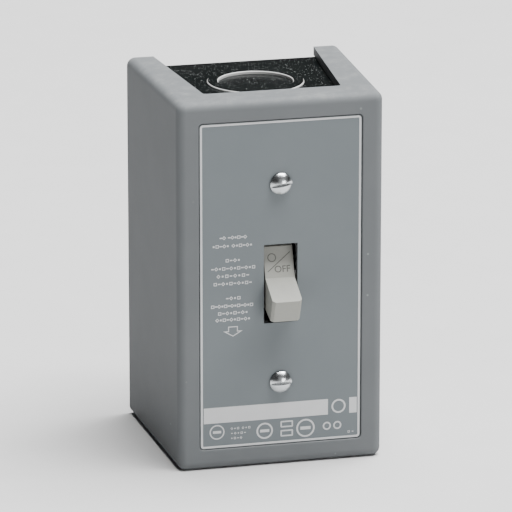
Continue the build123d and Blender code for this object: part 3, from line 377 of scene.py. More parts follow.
@dataclass(frozen=True)
class Finish:
    """One surface finish, in real sizes."""

    name: str
    base: Colour
    shade: Colour
    worn: Colour
    roughness: float
    texture: Texture = Texture.MOULDED
    metallic: float = 0.0
    coat: float = 0.0
    specular: float = 0.5
    spread: float = 0.12  # how much the roughness varies
    grain: float = 900.0  # fine features per metre
    relief: float = 0.02  # of the grain, in millimetres
    pit_scale: float = 500.0
    pit_share: float = 0.0
    pit_size: float = 0.35
    speck: Colour = (0.5, 0.5, 0.5)
    specks_settle: bool = False  # whether the specks lie only on faces turned up
    wear: float = 0.4
    wear_width: float = 0.9  # millimetres
    dust: float = 0.15
    slot_painted_shade: float = 0.0  # how dark the painted shade in a screw's slot and on its rim is
    bare_and_highlight_above: float = 0.0  # millimetres from the middle; upright cut edges beyond it show bare metal with a painted highlight

    def stretch(self) -> tuple[float, float, float]:
        """Gives the grain's stretch along X, Y and Z."""
        return (1.0, 1.0, BRUSHED_STRETCH if self.texture is Texture.BRUSHED else 1.0)

    def build(self, effects: Effects, label: str, low: Vector, high: Vector) -> bpy.types.Material:
        """Builds the material for one piece.

        Args:
            effects: The shared node groups.
            label: The piece's name.
            low: Lowest corner of the piece.
            high: Highest corner of the piece.

        Returns:
            The finished material.
        """
        material = bpy.data.materials.new(f"{self.name}_{label}")
        material.use_nodes = True
        sheet = Sheet(material.node_tree)
        sheet.tree.nodes.clear()
        leave = sheet.add("ShaderNodeOutputMaterial")
        place = sheet.add("ShaderNodeTexCoord")
        mapping = sheet.add("ShaderNodeMapping", Vector=place.outputs["Object"], Scale=self.stretch())
        mottle = self._group(sheet, effects.mottle, Vector=mapping.outputs["Vector"], Fine_Scale=self.grain)
        pits = self._group(
            sheet,
            effects.pits,
            Vector=place.outputs["Object"],
            Scale=self.pit_scale,
            Share=self.pit_share,
            Size=self.pit_size,
        )
        edges = self._group(
            sheet,
            effects.edges,
            Vector=place.outputs["Object"],
            Centre=tuple((low + high) / 2),
            Half=tuple((high - low) / 2),
            Width=self.wear_width * MM,
        )
        dust = self._group(
            sheet,
            effects.dust,
            Vector=place.outputs["Object"],
            Normal=place.outputs["Normal"],
            Amount=self.dust,
        )
        patchy = sheet.ramp(mottle.outputs["Broad"], *RUB_RANGE)
        rubbed = sheet.maths("MULTIPLY", edges.outputs["Mask"], patchy)
        rubbed = sheet.maths("MULTIPLY", rubbed, self.wear)
        colour = sheet.blend(sheet.ramp(mottle.outputs["Broad"], *MOTTLE_RANGE), self.base, self.shade)
        colour = sheet.blend(rubbed, colour, self.worn)
        specks = sheet.maths("MULTIPLY", pits.outputs["Mask"], pits.outputs["Random"])
        if self.specks_settle:
            turned = sheet.add("ShaderNodeSeparateXYZ", Vector=place.outputs["Normal"])
            specks = sheet.maths("MULTIPLY", specks, sheet.ramp(turned.outputs["Z"], *FACES_UP))
        colour = sheet.blend(specks, colour, self.speck)
        colour = sheet.blend(dust.outputs["Mask"], colour, DUST_GREY)
        # painted shade: faces square to the front, the screws' slot walls and rim, darkened towards black
        if self.slot_painted_shade > 0.0:
            colour = sheet.blend(self._slot_painted_shade(sheet, place), colour, SLOT_PAINTED_SHADE)
        # painted highlight: the knockouts' upright walls lightened to pale grey, standing for bare punched
        # metal and its glint
        if self.bare_and_highlight_above > 0.0:
            colour = sheet.blend(self._cut_edge_bare_and_highlight(sheet, place), colour, BARE_STEEL_AND_HIGHLIGHT)
        rough = sheet.maths("MULTIPLY_ADD", mottle.outputs["Fine"], self.spread)
        rough.node.inputs[2].default_value = self.roughness - self.spread / 2
        dusty = sheet.maths("MULTIPLY", dust.outputs["Mask"], DUST_ROUGHNESS)
        rough = sheet.maths("ADD", rough, dusty, clamp=True)
        pitted = sheet.maths("MULTIPLY", pits.outputs["Mask"], PIT_DEPTH)
        height = sheet.maths("SUBTRACT", mottle.outputs["Fine"], pitted)
        bump = sheet.add("ShaderNodeBump", Strength=BUMP_STRENGTH, Distance=self.relief * MM, Height=height)
        body = sheet.add("ShaderNodeBsdfPrincipled", Roughness=rough, Normal=bump.outputs["Normal"])
        sheet.put(body.inputs["Base Color"], colour)
        body.inputs["Metallic"].default_value = self.metallic
        body.inputs["Coat Weight"].default_value = self.coat
        body.inputs["Coat Roughness"].default_value = COAT_ROUGHNESS
        body.inputs["Specular IOR Level"].default_value = self.specular
        sheet.put(leave.inputs["Surface"], body.outputs["BSDF"])
        return material

    def _slot_painted_shade(self, sheet: Sheet, place: bpy.types.Node) -> bpy.types.NodeSocket:
        """Masks the faces square to the front, a screw's slot walls and its rim, which get painted shade.

        Args:
            sheet: The material's sheet.
            place: The Texture Coordinate node.

        Returns:
            The mask's socket.
        """
        turned = sheet.add("ShaderNodeSeparateXYZ", Vector=place.outputs["Normal"])
        square = sheet.ramp(sheet.maths("ABSOLUTE", turned.outputs["Y"]), *SLOT_TURN)
        return sheet.maths("MULTIPLY", square, self.slot_painted_shade)

    def _cut_edge_bare_and_highlight(self, sheet: Sheet, place: bpy.types.Node) -> bpy.types.NodeSocket:
        """Masks the upright walls of the knockouts, where the punch left bare metal and a painted highlight
        lightens the colour.

        Args:
            sheet: The material's sheet.
            place: The Texture Coordinate node.

        Returns:
            The mask's socket.
        """
        turned = sheet.add("ShaderNodeSeparateXYZ", Vector=place.outputs["Normal"])
        upright = sheet.ramp(sheet.maths("ABSOLUTE", turned.outputs["Z"]), *PUNCHED_TURN)
        spot = sheet.add("ShaderNodeSeparateXYZ", Vector=place.outputs["Object"])
        far = sheet.maths("GREATER_THAN", sheet.maths("ABSOLUTE", spot.outputs["Z"]), self.bare_and_highlight_above * MM)
        across = sheet.maths("ABSOLUTE", spot.outputs["X"])
        inboard = sheet.maths("LESS_THAN", across, PUNCHED_HALF_WIDTH * MM)
        behind = sheet.maths("GREATER_THAN", spot.outputs["Y"], PUNCHED_DEPTHS[0] * MM)
        ahead = sheet.maths("LESS_THAN", spot.outputs["Y"], PUNCHED_DEPTHS[1] * MM)
        wide, deep = sheet.maths("MULTIPLY", inboard, far), sheet.maths("MULTIPLY", behind, ahead)
        spots = sheet.maths("MULTIPLY", wide, deep)
        return sheet.maths("MULTIPLY", sheet.maths("MULTIPLY", upright, spots), BARE_AND_HIGHLIGHT_SHARE)

    @staticmethod
    def _group(sheet: Sheet, tree: bpy.types.NodeTree, **values: object) -> bpy.types.Node:
        """Places a shared node group.

        Args:
            sheet: The material's sheet.
            tree: The group.
            **values: Its inputs, with underscores for spaces.

        Returns:
            The group's node.
        """
        node = sheet.tree.nodes.new("ShaderNodeGroup")
        node.node_tree = tree
        for name, value in values.items():
            sheet.put(node.inputs[name.replace("_", " ")], value)
        return node


COVER_GREY = Finish(
    "cover_grey",
    base=(0.122, 0.130, 0.135),
    shade=(0.130, 0.138, 0.143),
    worn=(0.21, 0.22, 0.225),
    roughness=0.55,
    specular=0.06,
    spread=0.14,
    grain=1400.0,
    relief=0.03,
    pit_scale=420.0,
    pit_share=0.05,
    pit_size=0.22,
    speck=(0.24, 0.26, 0.26),
    wear=0.35,
    dust=0.10,
)
PLATE_GREY = Finish(
    "plate_grey",
    base=(0.126, 0.143, 0.151),
    shade=(0.132, 0.149, 0.157),
    worn=(0.30, 0.31, 0.31),
    roughness=0.45,
    specular=0.2,
    grain=1800.0,
    relief=0.010,
    wear=0.15,
    wear_width=0.35,
    dust=0.05,
)
SILVER_INK = Finish(
    "silver_ink",
    base=(0.46, 0.465, 0.47),
    shade=(0.50, 0.505, 0.51),
    worn=(0.40, 0.41, 0.41),
    roughness=0.45,
    grain=2200.0,
    relief=0.006,
    wear=0.3,
    wear_width=0.3,
    dust=0.03,
)
BOX_ENAMEL = Finish(
    "box_enamel",
    base=(0.003, 0.004, 0.004),
    shade=(0.006, 0.007, 0.007),
    worn=(0.05, 0.05, 0.05),
    roughness=0.20,
    texture=Texture.ENAMEL,
    specular=0.10,
    spread=0.10,
    grain=900.0,
    relief=0.015,
    pit_scale=3800.0,
    pit_share=0.12,
    pit_size=0.56,
    speck=(0.46, 0.48, 0.47),
    specks_settle=True,
    wear=0.4,
    wear_width=0.6,
    dust=0.0,
    bare_and_highlight_above=50.0,
)
TOGGLE_GREY = Finish(
    "toggle_grey",
    base=(0.262, 0.264, 0.238),
    shade=(0.282, 0.284, 0.258),
    worn=(0.36, 0.36, 0.335),
    roughness=0.42,
    specular=0.3,
    grain=1500.0,
    relief=0.012,
    pit_scale=600.0,
    pit_share=0.04,
    pit_size=0.2,
    speck=(0.33, 0.32, 0.30),
    wear=0.35,
    wear_width=0.5,
    dust=0.05,
)
BRIGHT_ZINC = Finish(
    "bright_zinc",
    base=(0.62, 0.64, 0.65),
    shade=(0.48, 0.50, 0.51),
    worn=(0.80, 0.82, 0.83),
    roughness=0.24,
    texture=Texture.TUMBLED,
    metallic=1.0,
    spread=0.14,
    slot_painted_shade=0.75,
    grain=1600.0,
    relief=0.012,
    pit_scale=1200.0,
    pit_share=0.12,
    pit_size=0.3,
    speck=(0.30, 0.29, 0.27),
    wear=0.3,
    wear_width=0.5,
    dust=0.04,
)
MARK_GREY = Finish(
    "mark_grey",
    base=(0.070, 0.069, 0.062),
    shade=(0.095, 0.094, 0.085),
    worn=(0.15, 0.15, 0.14),
    roughness=0.6,
    grain=2000.0,
    relief=0.004,
    dust=0.0,
)
YOKE_ZINC = Finish(
    "yoke_zinc",
    base=(0.52, 0.53, 0.54),
    shade=(0.44, 0.45, 0.46),
    worn=(0.70, 0.70, 0.69),
    roughness=0.34,
    texture=Texture.BRUSHED,
    metallic=1.0,
    grain=1800.0,
    relief=0.015,
)
CASE_BLACK = Finish(
    "case_black",
    base=(0.018, 0.018, 0.020),
    shade=(0.026, 0.026, 0.028),
    worn=(0.08, 0.08, 0.08),
    roughness=0.48,
    grain=900.0,
    relief=0.03,
    pit_scale=600.0,
    pit_share=0.05,
    speck=(0.10, 0.10, 0.10),
)
BRASS = Finish(
    "brass",
    base=(0.72, 0.52, 0.24),
    shade=(0.62, 0.44, 0.20),
    worn=(0.80, 0.62, 0.34),
    roughness=0.30,
    texture=Texture.BRUSHED,
    metallic=1.0,
    grain=1500.0,
    relief=0.015,
)
COPPER = Finish(
    "copper",
    base=(0.72, 0.36, 0.22),
    shade=(0.58, 0.27, 0.17),
    worn=(0.85, 0.50, 0.36),
    roughness=0.32,
    texture=Texture.BRUSHED,
    metallic=1.0,
    grain=1500.0,
    relief=0.015,
)
SILVER = Finish(
    "contact_silver",
    base=(0.80, 0.79, 0.76),
    shade=(0.66, 0.65, 0.62),
    worn=(0.88, 0.87, 0.85),
    roughness=0.36,
    texture=Texture.TUMBLED,
    metallic=1.0,
    grain=2400.0,
    relief=0.010,
)
SPRING_STEEL = Finish(
    "spring_steel",
    base=(0.34, 0.34, 0.35),
    shade=(0.26, 0.26, 0.27),
    worn=(0.5, 0.5, 0.5),
    roughness=0.30,
    texture=Texture.TUMBLED,
    metallic=1.0,
    grain=2600.0,
    relief=0.008,
)
GROUND_GREEN = Finish(
    "ground_green",
    base=(0.03, 0.17, 0.07),
    shade=(0.04, 0.20, 0.09),
    worn=(0.45, 0.46, 0.44),
    roughness=0.33,
    texture=Texture.ENAMEL,
    coat=0.3,
    wear=0.6,
    wear_width=0.4,
)
STUDIO_WHITE = Finish(
    "studio_white",
    base=(0.50, 0.50, 0.50),
    shade=(0.51, 0.51, 0.51),
    worn=(0.51, 0.51, 0.51),
    roughness=0.75,
    grain=60.0,
    relief=0.02,
    wear=0.0,
    dust=0.0,
)

NODE_FINISHES: dict[str, Finish] = {
    "cover": COVER_GREY,
    "nameplate": PLATE_GREY,
    "cover_screws": BRIGHT_ZINC,
    "back_box": BOX_ENAMEL,
    "toggle_handle": TOGGLE_GREY,
    "yoke_screws": BRIGHT_ZINC,
    "ground_screw": GROUND_GREEN,
    "mounting_yoke": YOKE_ZINC,
    "spring_posts": YOKE_ZINC,
    "case_body": CASE_BLACK,
    "case_back": CASE_BLACK,
    "case_rivets": YOKE_ZINC,
    "line_terminal": BRASS,
    "load_contact": BRASS,
    "load_terminal": BRASS,
    "fixed_contacts": SILVER,
    "terminal_screws": BRIGHT_ZINC,
    "heater_bracket": BRASS,
    "heater_screws": BRIGHT_ZINC,
    "heater_winding": SPRING_STEEL,
    "solder_tube": BRASS,
    "ratchet_wheel": YOKE_ZINC,
    "trip_lever": CASE_BLACK,
    "trip_lever_pin": YOKE_ZINC,
    "trip_spring": SPRING_STEEL,
    "toggle_drive_pin": YOKE_ZINC,
    "toggle_pin": YOKE_ZINC,
    "rocker_pin": YOKE_ZINC,
    "contact_rocker": CASE_BLACK,
    "contact_bridge": COPPER,
    "moving_contacts": SILVER,
    "over_centre_springs": SPRING_STEEL,
}


# ---------------------------------------------------------------- modelling helpers
def deselect_all() -> None:
    """Clears the selection, so that an operator acts only on what is picked next."""
    bpy.ops.object.select_all(action="DESELECT")


def pick(piece: bpy.types.Object) -> None:
    """Selects one piece alone and makes it active.

    Args:
        piece: The piece.
    """
    deselect_all()
    piece.select_set(True)
    bpy.context.view_layer.objects.active = piece


def settle(piece: bpy.types.Object, matrix: Matrix) -> None:
    """Moves a piece's mesh by a matrix, and leaves its object at the origin.

    Args:
        piece: The piece.
        matrix: Where its mesh goes.
    """
    pick(piece)
    bpy.ops.object.transform_apply(location=True, rotation=True, scale=True)
    piece.data.transform(matrix)
    piece.data.update()


def joined(name: str, pieces: list[bpy.types.Object]) -> bpy.types.Object:
    """Joins pieces into one.

    Args:
        name: The new piece's name.
        pieces: The pieces to join.

    Returns:
        The joined piece.
    """
    deselect_all()
    for piece in pieces:
        piece.select_set(True)
    bpy.context.view_layer.objects.active = pieces[0]
    if len(pieces) > 1:
        bpy.ops.object.join()
    whole = bpy.context.view_layer.objects.active
    whole.name = name
    whole.data.name = name
    return whole


def flat_frame(width: float, height: float, corner: float, band: float, depth: float) -> bpy.types.Object:
    """Models a flat rounded frame, or a plain patch where band is 0, facing +Z at the origin.

    Args:
        width: Outer width.
        height: Outer height.
        corner: Outer corner radius.
        band: Width of the frame's band, or 0 for a filled patch.
        depth: How thick the ink or foil stands.

    Returns:
        The piece.
    """
    deselect_all()
    bpy.ops.mesh.primitive_plane_add(size=1.0)
    piece = bpy.context.active_object
    piece.scale = (width, height, 1.0)
    bpy.ops.object.transform_apply(scale=True)
    bpy.ops.object.mode_set(mode="EDIT")
    bpy.ops.mesh.select_all(action="SELECT")
    if corner > 0.0:
        bpy.ops.mesh.bevel(offset=corner, segments=CORNER_SEGMENTS, affect="VERTICES")
    if band > 0.0:
        bpy.ops.mesh.select_mode(type="FACE")
        bpy.ops.mesh.select_all(action="SELECT")
        bpy.ops.mesh.inset(thickness=band, use_even_offset=True)
        bpy.ops.mesh.delete(type="FACE")
        bpy.ops.mesh.select_all(action="SELECT")
    bpy.ops.mesh.extrude_region_move(TRANSFORM_OT_translate={"value": (0.0, 0.0, depth)})
    bpy.ops.mesh.select_all(action="SELECT")
    bpy.ops.mesh.normals_make_consistent(inside=False)
    bpy.ops.object.mode_set(mode="OBJECT")
    return piece


def ring(radius: float, band: float, depth: float, sides: int = 40) -> bpy.types.Object:
    """Models a flat round ring, or a disc where band is 0, facing +Z at the origin.

    Args:
        radius: Outer radius.
        band: Width of the ring, or 0 for a disc.
        depth: How thick it stands.
        sides: How many sides the circle has.

    Returns:
        The piece.
    """
    deselect_all()
    bpy.ops.mesh.primitive_circle_add(vertices=sides, radius=radius, fill_type="NGON")
    piece = bpy.context.active_object
    bpy.ops.object.mode_set(mode="EDIT")
    bpy.ops.mesh.select_mode(type="FACE")
    bpy.ops.mesh.select_all(action="SELECT")
    if band > 0.0:
        bpy.ops.mesh.inset(thickness=band, use_even_offset=True)
        bpy.ops.mesh.delete(type="FACE")
        bpy.ops.mesh.select_all(action="SELECT")
    bpy.ops.mesh.extrude_region_move(TRANSFORM_OT_translate={"value": (0.0, 0.0, depth)})
    bpy.ops.mesh.select_all(action="SELECT")
    bpy.ops.mesh.normals_make_consistent(inside=False)
    bpy.ops.object.mode_set(mode="OBJECT")
    return piece


def copy_at(piece: bpy.types.Object, matrix: Matrix) -> bpy.types.Object:
    """Copies a piece with its own mesh and moves the copy.

    Args:
        piece: The piece to copy.
        matrix: Where the copy goes.

    Returns:
        The copy.
    """
    twin = piece.copy()
    twin.data = piece.data.copy()
    twin.data.transform(matrix)
    bpy.context.collection.objects.link(twin)
    return twin


def facing_front(y: float) -> Matrix:
    """Gives the matrix that stands a flat +Z piece up to face -Y at a given y.

    Args:
        y: Where the piece's lower face goes.

    Returns:
        The matrix.
    """
    return Matrix.Translation((0.0, y, 0.0)) @ Matrix.Rotation(math.pi / 2, 4, "X")


# ---------------------------------------------------------------- sub-assemblies
@dataclass
class PackedPieces:
    """Every piece that comes packed, each dressed with its own finish and keeping its shape."""

    effects: Effects

    def dress(self, nodes: dict[str, bpy.types.Object]) -> None:
        """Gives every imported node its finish.

        Args:
            nodes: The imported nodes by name.
        """
        for name, piece in nodes.items():
            finish = NODE_FINISHES[name]
            low, high = (Vector(corner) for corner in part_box(name))
            material = finish.build(self.effects, name, low, high)
            for slot in piece.material_slots:
                slot.material = material
            LOG.info("node %s: %s", name, finish.name)


@dataclass
class NameplatePrint:
    """Silver print on the nameplate: border, band, marks, rows of shapes, arrow. Sizes in millimetres."""

    effects: Effects
    lift: float = 0.05
    sunk_share: float = 0.2  # of the lift, under the plate's face
    border: float = 0.6
    border_inset: float = 0.15
    border_corner: float = 0.9
    band_low: float = -41.5
    band_high: float = -36.7
    band_parts: tuple[tuple[float, float], ...] = ((-23.2, 14.4), (20.9, 23.2))
    mark_centre: tuple[float, float] = (17.65, -39.1)
    mark_radius: float = 2.15
    mark_line: float = 0.5
    rows: tuple[Row, ...] = (
        (14.9, -18.4, -10.2, (2, 6)),
        (12.4, -20.6, -8.4, (5, 6)),
        (8.0, -16.6, -12.0, (4,)),
        (5.6, -21.0, -7.6, (12,)),
        (3.3, -19.3, -9.3, (8,)),
        (1.0, -20.2, -8.5, (10,)),
        (-3.5, -16.6, -12.0, (4,)),
        (-5.8, -20.9, -8.3, (13,)),
        (-8.0, -18.9, -9.7, (8,)),
        (-10.0, -19.6, -9.0, (10,)),
    )
    cap_height: float = 1.25
    small_rows: tuple[Row, ...] = (
        (-43.5, -15.2, -9.0, (3, 3)),
        (-45.0, -15.2, -10.3, (5,)),
        (-46.5, -15.2, -11.5, (4,)),
        (-47.3, 20.2, 22.6, (2,)),
    )
    small_height: float = 0.85
    shape_side: float = 0.78  # of the row's height
    shape_line: float = 0.17  # of the row's height
    solid_side: float = 0.55  # of the open square's side
    diamond_radius: float = 0.62  # of the open square's side
    bar_size: tuple[float, float] = (0.8, 0.36)  # of the open square's side
    badges: tuple[tuple[float, float, float, float], ...] = (  # x, z, radius and line of each ring
        (-19.2, -44.3, 2.25, 0.36),
        (-4.8, -45.0, 2.5, 0.5),
        (7.6, -45.1, 2.8, 0.5),
    )
    badge_bar: tuple[float, float] = (1.1, 0.34)  # of the ring's radius
    block_x: float = 1.9
    block_heights: tuple[float, float] = (-43.4, -46.2)
    block_size: tuple[float, float] = (3.8, 2.0)
    block_corner: float = 0.3
    block_line: float = 0.42
    dot_places: tuple[float, float] = (14.1, 17.3)
    dot_z: float = -45.0
    dot_radius: float = 1.25
    dot_line: float = 0.45
    arrow_x: float = -14.35
    arrow_high: float = -12.1
    arrow_low: float = -15.2
    arrow_half: float = 2.9
    arrow_stem_share: float = 0.45  # of the arrow's height
    arrow_line: float = 0.26
    arrow_head_spread: float = 2.0  # the head's width over the stem's
    arrow_shoulder: float = 0.01  # how far the shoulders slope
    pieces: list[bpy.types.Object] = field(default_factory=list)

    def build(self) -> bpy.types.Object:
        """Builds the whole print as one piece that rides on the frame.

        Returns:
            The print.
        """
        low, high = (Vector(corner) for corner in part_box("nameplate"))
        depth = self.lift * MM
        self.pieces.append(self._border(high.x - low.x, high.z - low.z, depth))
        self.pieces += self._band(depth)
        self.pieces += self._badges(depth)
        self.pieces += self._rows(self.rows, self.cap_height, depth)
        self.pieces += self._rows(self.small_rows, self.small_height, depth)
        self.pieces.append(self._arrow(depth))
        whole = joined("nameplate_print", self.pieces)
        settle(whole, facing_front(low.y + depth * self.sunk_share))
        whole.data.materials.clear()
        whole.data.materials.append(SILVER_INK.build(self.effects, "nameplate_print", low, high))
        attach(whole, "frame")
        LOG.info("nameplate print: %d marks", len(self.pieces))
        return whole

    def _border(self, width: float, height: float, depth: float) -> bpy.types.Object:
        """Builds the thin frame just inside the plate's edge.

        Args:
            width: The plate's width in metres.
            height: The plate's height in metres.
            depth: The print's thickness in metres.

        Returns:
            The frame.
        """
        inset = 2 * self.border_inset * MM
        return flat_frame(width - inset, height - inset, self.border_corner * MM, self.border * MM, depth)

    def _band(self, depth: float) -> list[bpy.types.Object]:
        """Builds the two parts of the wide band and the plain ring between them.

        Args:
            depth: The print's thickness in metres.

        Returns:
            The pieces.
        """
        parts = []
        middle, tall = (self.band_low + self.band_high) / 2, self.band_high - self.band_low
        for left, right in self.band_parts:
            patch = flat_frame((right - left) * MM, tall * MM, 0.0, 0.0, depth)
            patch.data.transform(Matrix.Translation(((left + right) / 2 * MM, middle * MM, 0.0)))
            parts.append(patch)
        mark = ring(self.mark_radius * MM, self.mark_line * MM, depth)
        mark.data.transform(Matrix.Translation((self.mark_centre[0] * MM, self.mark_centre[1] * MM, 0.0)))
        return [*parts, mark]

    def _badges(self, depth: float) -> list[bpy.types.Object]:
        """Builds the plain round and square marks of the bottom strip.

        Args:
            depth: The print's thickness in metres.

        Returns:
            The pieces.
        """
        parts = []
        for x, z, radius, band in self.badges:
            outer = ring(radius * MM, band * MM, depth)
            outer.data.transform(Matrix.Translation((x * MM, z * MM, 0.0)))
            bar_wide, bar_tall = (radius * share * MM for share in self.badge_bar)
            bar = flat_frame(bar_wide, bar_tall, 0.0, 0.0, depth)
            bar.data.transform(Matrix.Translation((x * MM, z * MM, 0.0)))
            parts += [outer, bar]
        wide, tall = self.block_size
        for z in self.block_heights:
            block = flat_frame(wide * MM, tall * MM, self.block_corner * MM, self.block_line * MM, depth)
            block.data.transform(Matrix.Translation((self.block_x * MM, z * MM, 0.0)))
            parts.append(block)
        for x in self.dot_places:
            small = ring(self.dot_radius * MM, self.dot_line * MM, depth)
            small.data.transform(Matrix.Translation((x * MM, self.dot_z * MM, 0.0)))
            parts.append(small)
        return parts

    def _rows(self, rows: tuple[Row, ...], tall: float, depth: float) -> list[bpy.types.Object]:
        """Builds rows of small plain shapes that stand in for lines of print, with gaps between groups.

        Args:
            rows: Height, left end, right end and group lengths of each row.
            tall: The shapes' height in millimetres.
            depth: The print's thickness in metres.

        Returns:
            The shapes.
        """
        shapes = self._shapes(tall, depth)
        parts = []
        for z, left, right, groups in rows:
            pitch = (right - left) / (sum(groups) + GROUP_GAP * (len(groups) - 1))
            x = left + pitch / 2
            for length in groups:
                for step in range(length):
                    # a fixed mix, so that neighbours differ and rows don't line up
                    shape = shapes[(step * 3 + length + int(abs(z) * 2)) % len(shapes)]
                    parts.append(copy_at(shape, Matrix.Translation((x * MM, z * MM, 0.0))))
                    x += pitch
                x += GROUP_GAP * pitch
        for shape in shapes:
            bpy.data.objects.remove(shape)
        return parts

    def _shapes(self, tall: float, depth: float) -> list[bpy.types.Object]:
        """Models the plain shapes of the rows once: open square, block, diamond and bar.

        Args:
            tall: The shapes' height in millimetres.
            depth: The print's thickness in metres.

        Returns:
            One piece for each shape.
        """
        side, line = tall * self.shape_side * MM, tall * self.shape_line * MM
        solid = side * self.solid_side
        bar_wide, bar_tall = (side * share for share in self.bar_size)
        square = flat_frame(side, side, 0.0, line, depth)
        block = flat_frame(solid, solid, 0.0, 0.0, depth)
        diamond = ring(side * self.diamond_radius, line, depth, sides=4)
        bar = flat_frame(bar_wide, bar_tall, 0.0, 0.0, depth)
        return [square, block, diamond, bar]

    def _arrow(self, depth: float) -> bpy.types.Object:
        """Builds an outlined block arrow that points down: stem, shoulders and point.

        Args:
            depth: The print's thickness in metres.

        Returns:
            The arrow.
        """
        tall = (self.arrow_high - self.arrow_low) * MM
        stem = tall * self.arrow_stem_share
        deselect_all()
        bpy.ops.mesh.primitive_plane_add(size=1.0)
        arrow = bpy.context.active_object
        arrow.data.transform(Matrix.Diagonal((self.arrow_half * MM, stem, 1.0, 1.0)))
        bpy.ops.object.mode_set(mode="EDIT")
        bpy.ops.mesh.select_mode(type="EDGE")
        bpy.ops.mesh.select_all(action="DESELECT")
        bpy.ops.object.mode_set(mode="OBJECT")
        for edge in arrow.data.edges:
            ends = [arrow.data.vertices[index].co.y for index in edge.vertices]
            edge.select = max(ends) < 0.0
        bpy.ops.object.mode_set(mode="EDIT")
        slope = (0.0, -self.arrow_shoulder * MM, 0.0)
        bpy.ops.mesh.extrude_region_move(TRANSFORM_OT_translate={"value": slope})
        bpy.ops.transform.resize(value=(self.arrow_head_spread, 1.0, 1.0))
        bpy.ops.mesh.extrude_region_move(TRANSFORM_OT_translate={"value": (0.0, stem - tall, 0.0)})
        bpy.ops.mesh.merge(type="CENTER")
        bpy.ops.mesh.select_all(action="SELECT")
        bpy.ops.mesh.dissolve_faces()
        bpy.ops.mesh.select_mode(type="FACE")
        bpy.ops.mesh.select_all(action="SELECT")
        bpy.ops.mesh.inset(thickness=self.arrow_line * MM, use_even_offset=True)
        bpy.ops.mesh.delete(type="FACE")
        bpy.ops.mesh.select_all(action="SELECT")
        bpy.ops.mesh.extrude_region_move(TRANSFORM_OT_translate={"value": (0.0, 0.0, depth)})
        bpy.ops.mesh.select_all(action="SELECT")
        bpy.ops.mesh.normals_make_consistent(inside=False)
        bpy.ops.object.mode_set(mode="OBJECT")
        arrow.data.transform(Matrix.Translation((self.arrow_x * MM, self.arrow_high * MM - stem / 2, 0.0)))
        return arrow


@dataclass
class ToggleMarks:
    """Off mark on the toggle's upper flat: a ring, a slanting line and a short word. Sizes in millimetres."""

    effects: Effects
    pivot: Vector
    root_ahead: float = 7.5  # the flat's foot, ahead of the pivot along the handle
    root_up: float = 4.6
    top_ahead: float = 1.3
    top_up: float = 11.4
    tilt: float = 21.5  # degrees the handle hangs
    lift: float = 0.03
    sunk_share: float = 0.3  # of the lift, under the flat
    ring_at: tuple[float, float] = (-2.0, 5.95)
    ring_radius: float = 1.3
    ring_line: float = 0.28
    ring_sides: int = 32
    slash_height: float = 4.6
    slash_size: tuple[float, float] = (9.0, 0.26)
    slash_turn: float = 38.0  # degrees
    word_at: tuple[float, float] = (0.9, 1.55)
    word_size: float = 2.75
    word_weight: float = 0.03

    def flat(self) -> Matrix:
        """Gives the matrix that puts a +Z facing piece on the flat, with its foot at y = 0.

        Returns:
            The matrix.
        """
        turn = math.radians(self.tilt)

        def spot(ahead: float, up: float) -> Vector:
            """Turns a place on the handle into the frame's own axes.

            Args:
                ahead: How far ahead of the pivot, along the handle, in millimetres.
                up: How far up from there, square to the handle, in millimetres.

            Returns:
                The place.
            """
            y = -ahead * math.cos(turn) - up * math.sin(turn)
            z = -ahead * math.sin(turn) + up * math.cos(turn)
            return self.pivot + Vector((0.0, y * MM, z * MM))

        foot, top = spot(self.root_ahead, self.root_up), spot(self.top_ahead, self.top_up)
        across, along = Vector((1.0, 0.0, 0.0)), (top - foot).normalized()
        out = across.cross(along)
        return Matrix.Translation(foot) @ Matrix((across, along, out)).transposed().to_4x4()

    def build(self) -> bpy.types.Object:
        """Builds the marks as one piece that rides on the toggle.

        Returns:
            The marks.
        """
        depth = self.lift * MM
        circle = ring(self.ring_radius * MM, self.ring_line * MM, depth, sides=self.ring_sides)
        circle.data.transform(Matrix.Translation((self.ring_at[0] * MM, self.ring_at[1] * MM, 0.0)))
        line = flat_frame(self.slash_size[0] * MM, self.slash_size[1] * MM, 0.0, 0.0, depth)
        slant = Matrix.Rotation(math.radians(self.slash_turn), 4, "Z")
        line.data.transform(Matrix.Translation((0.0, self.slash_height * MM, 0.0)) @ slant)
        deselect_all()
        bpy.ops.object.text_add()
        word = bpy.context.active_object
        word.data.body = "OFF"
        word.data.size = self.word_size * MM
        word.data.offset = self.word_weight * MM
        word.data.extrude = depth / 2
        word.data.align_x = "CENTER"
        pick(word)
        bpy.ops.object.convert(target="MESH")
        word = bpy.context.active_object
        word.data.transform(Matrix.Translation((self.word_at[0] * MM, self.word_at[1] * MM, depth / 2)))
        marks = joined("toggle_off_mark", [circle, line, word])
        settle(marks, self.flat() @ Matrix.Translation((0.0, 0.0, -depth * self.sunk_share)))
        low, high = (Vector(corner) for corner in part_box("toggle_handle"))
        marks.data.materials.clear()
        marks.data.materials.append(MARK_GREY.build(self.effects, "toggle_off_mark", low, high))
        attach(marks, "toggle")
        LOG.info("toggle off mark")
        return marks


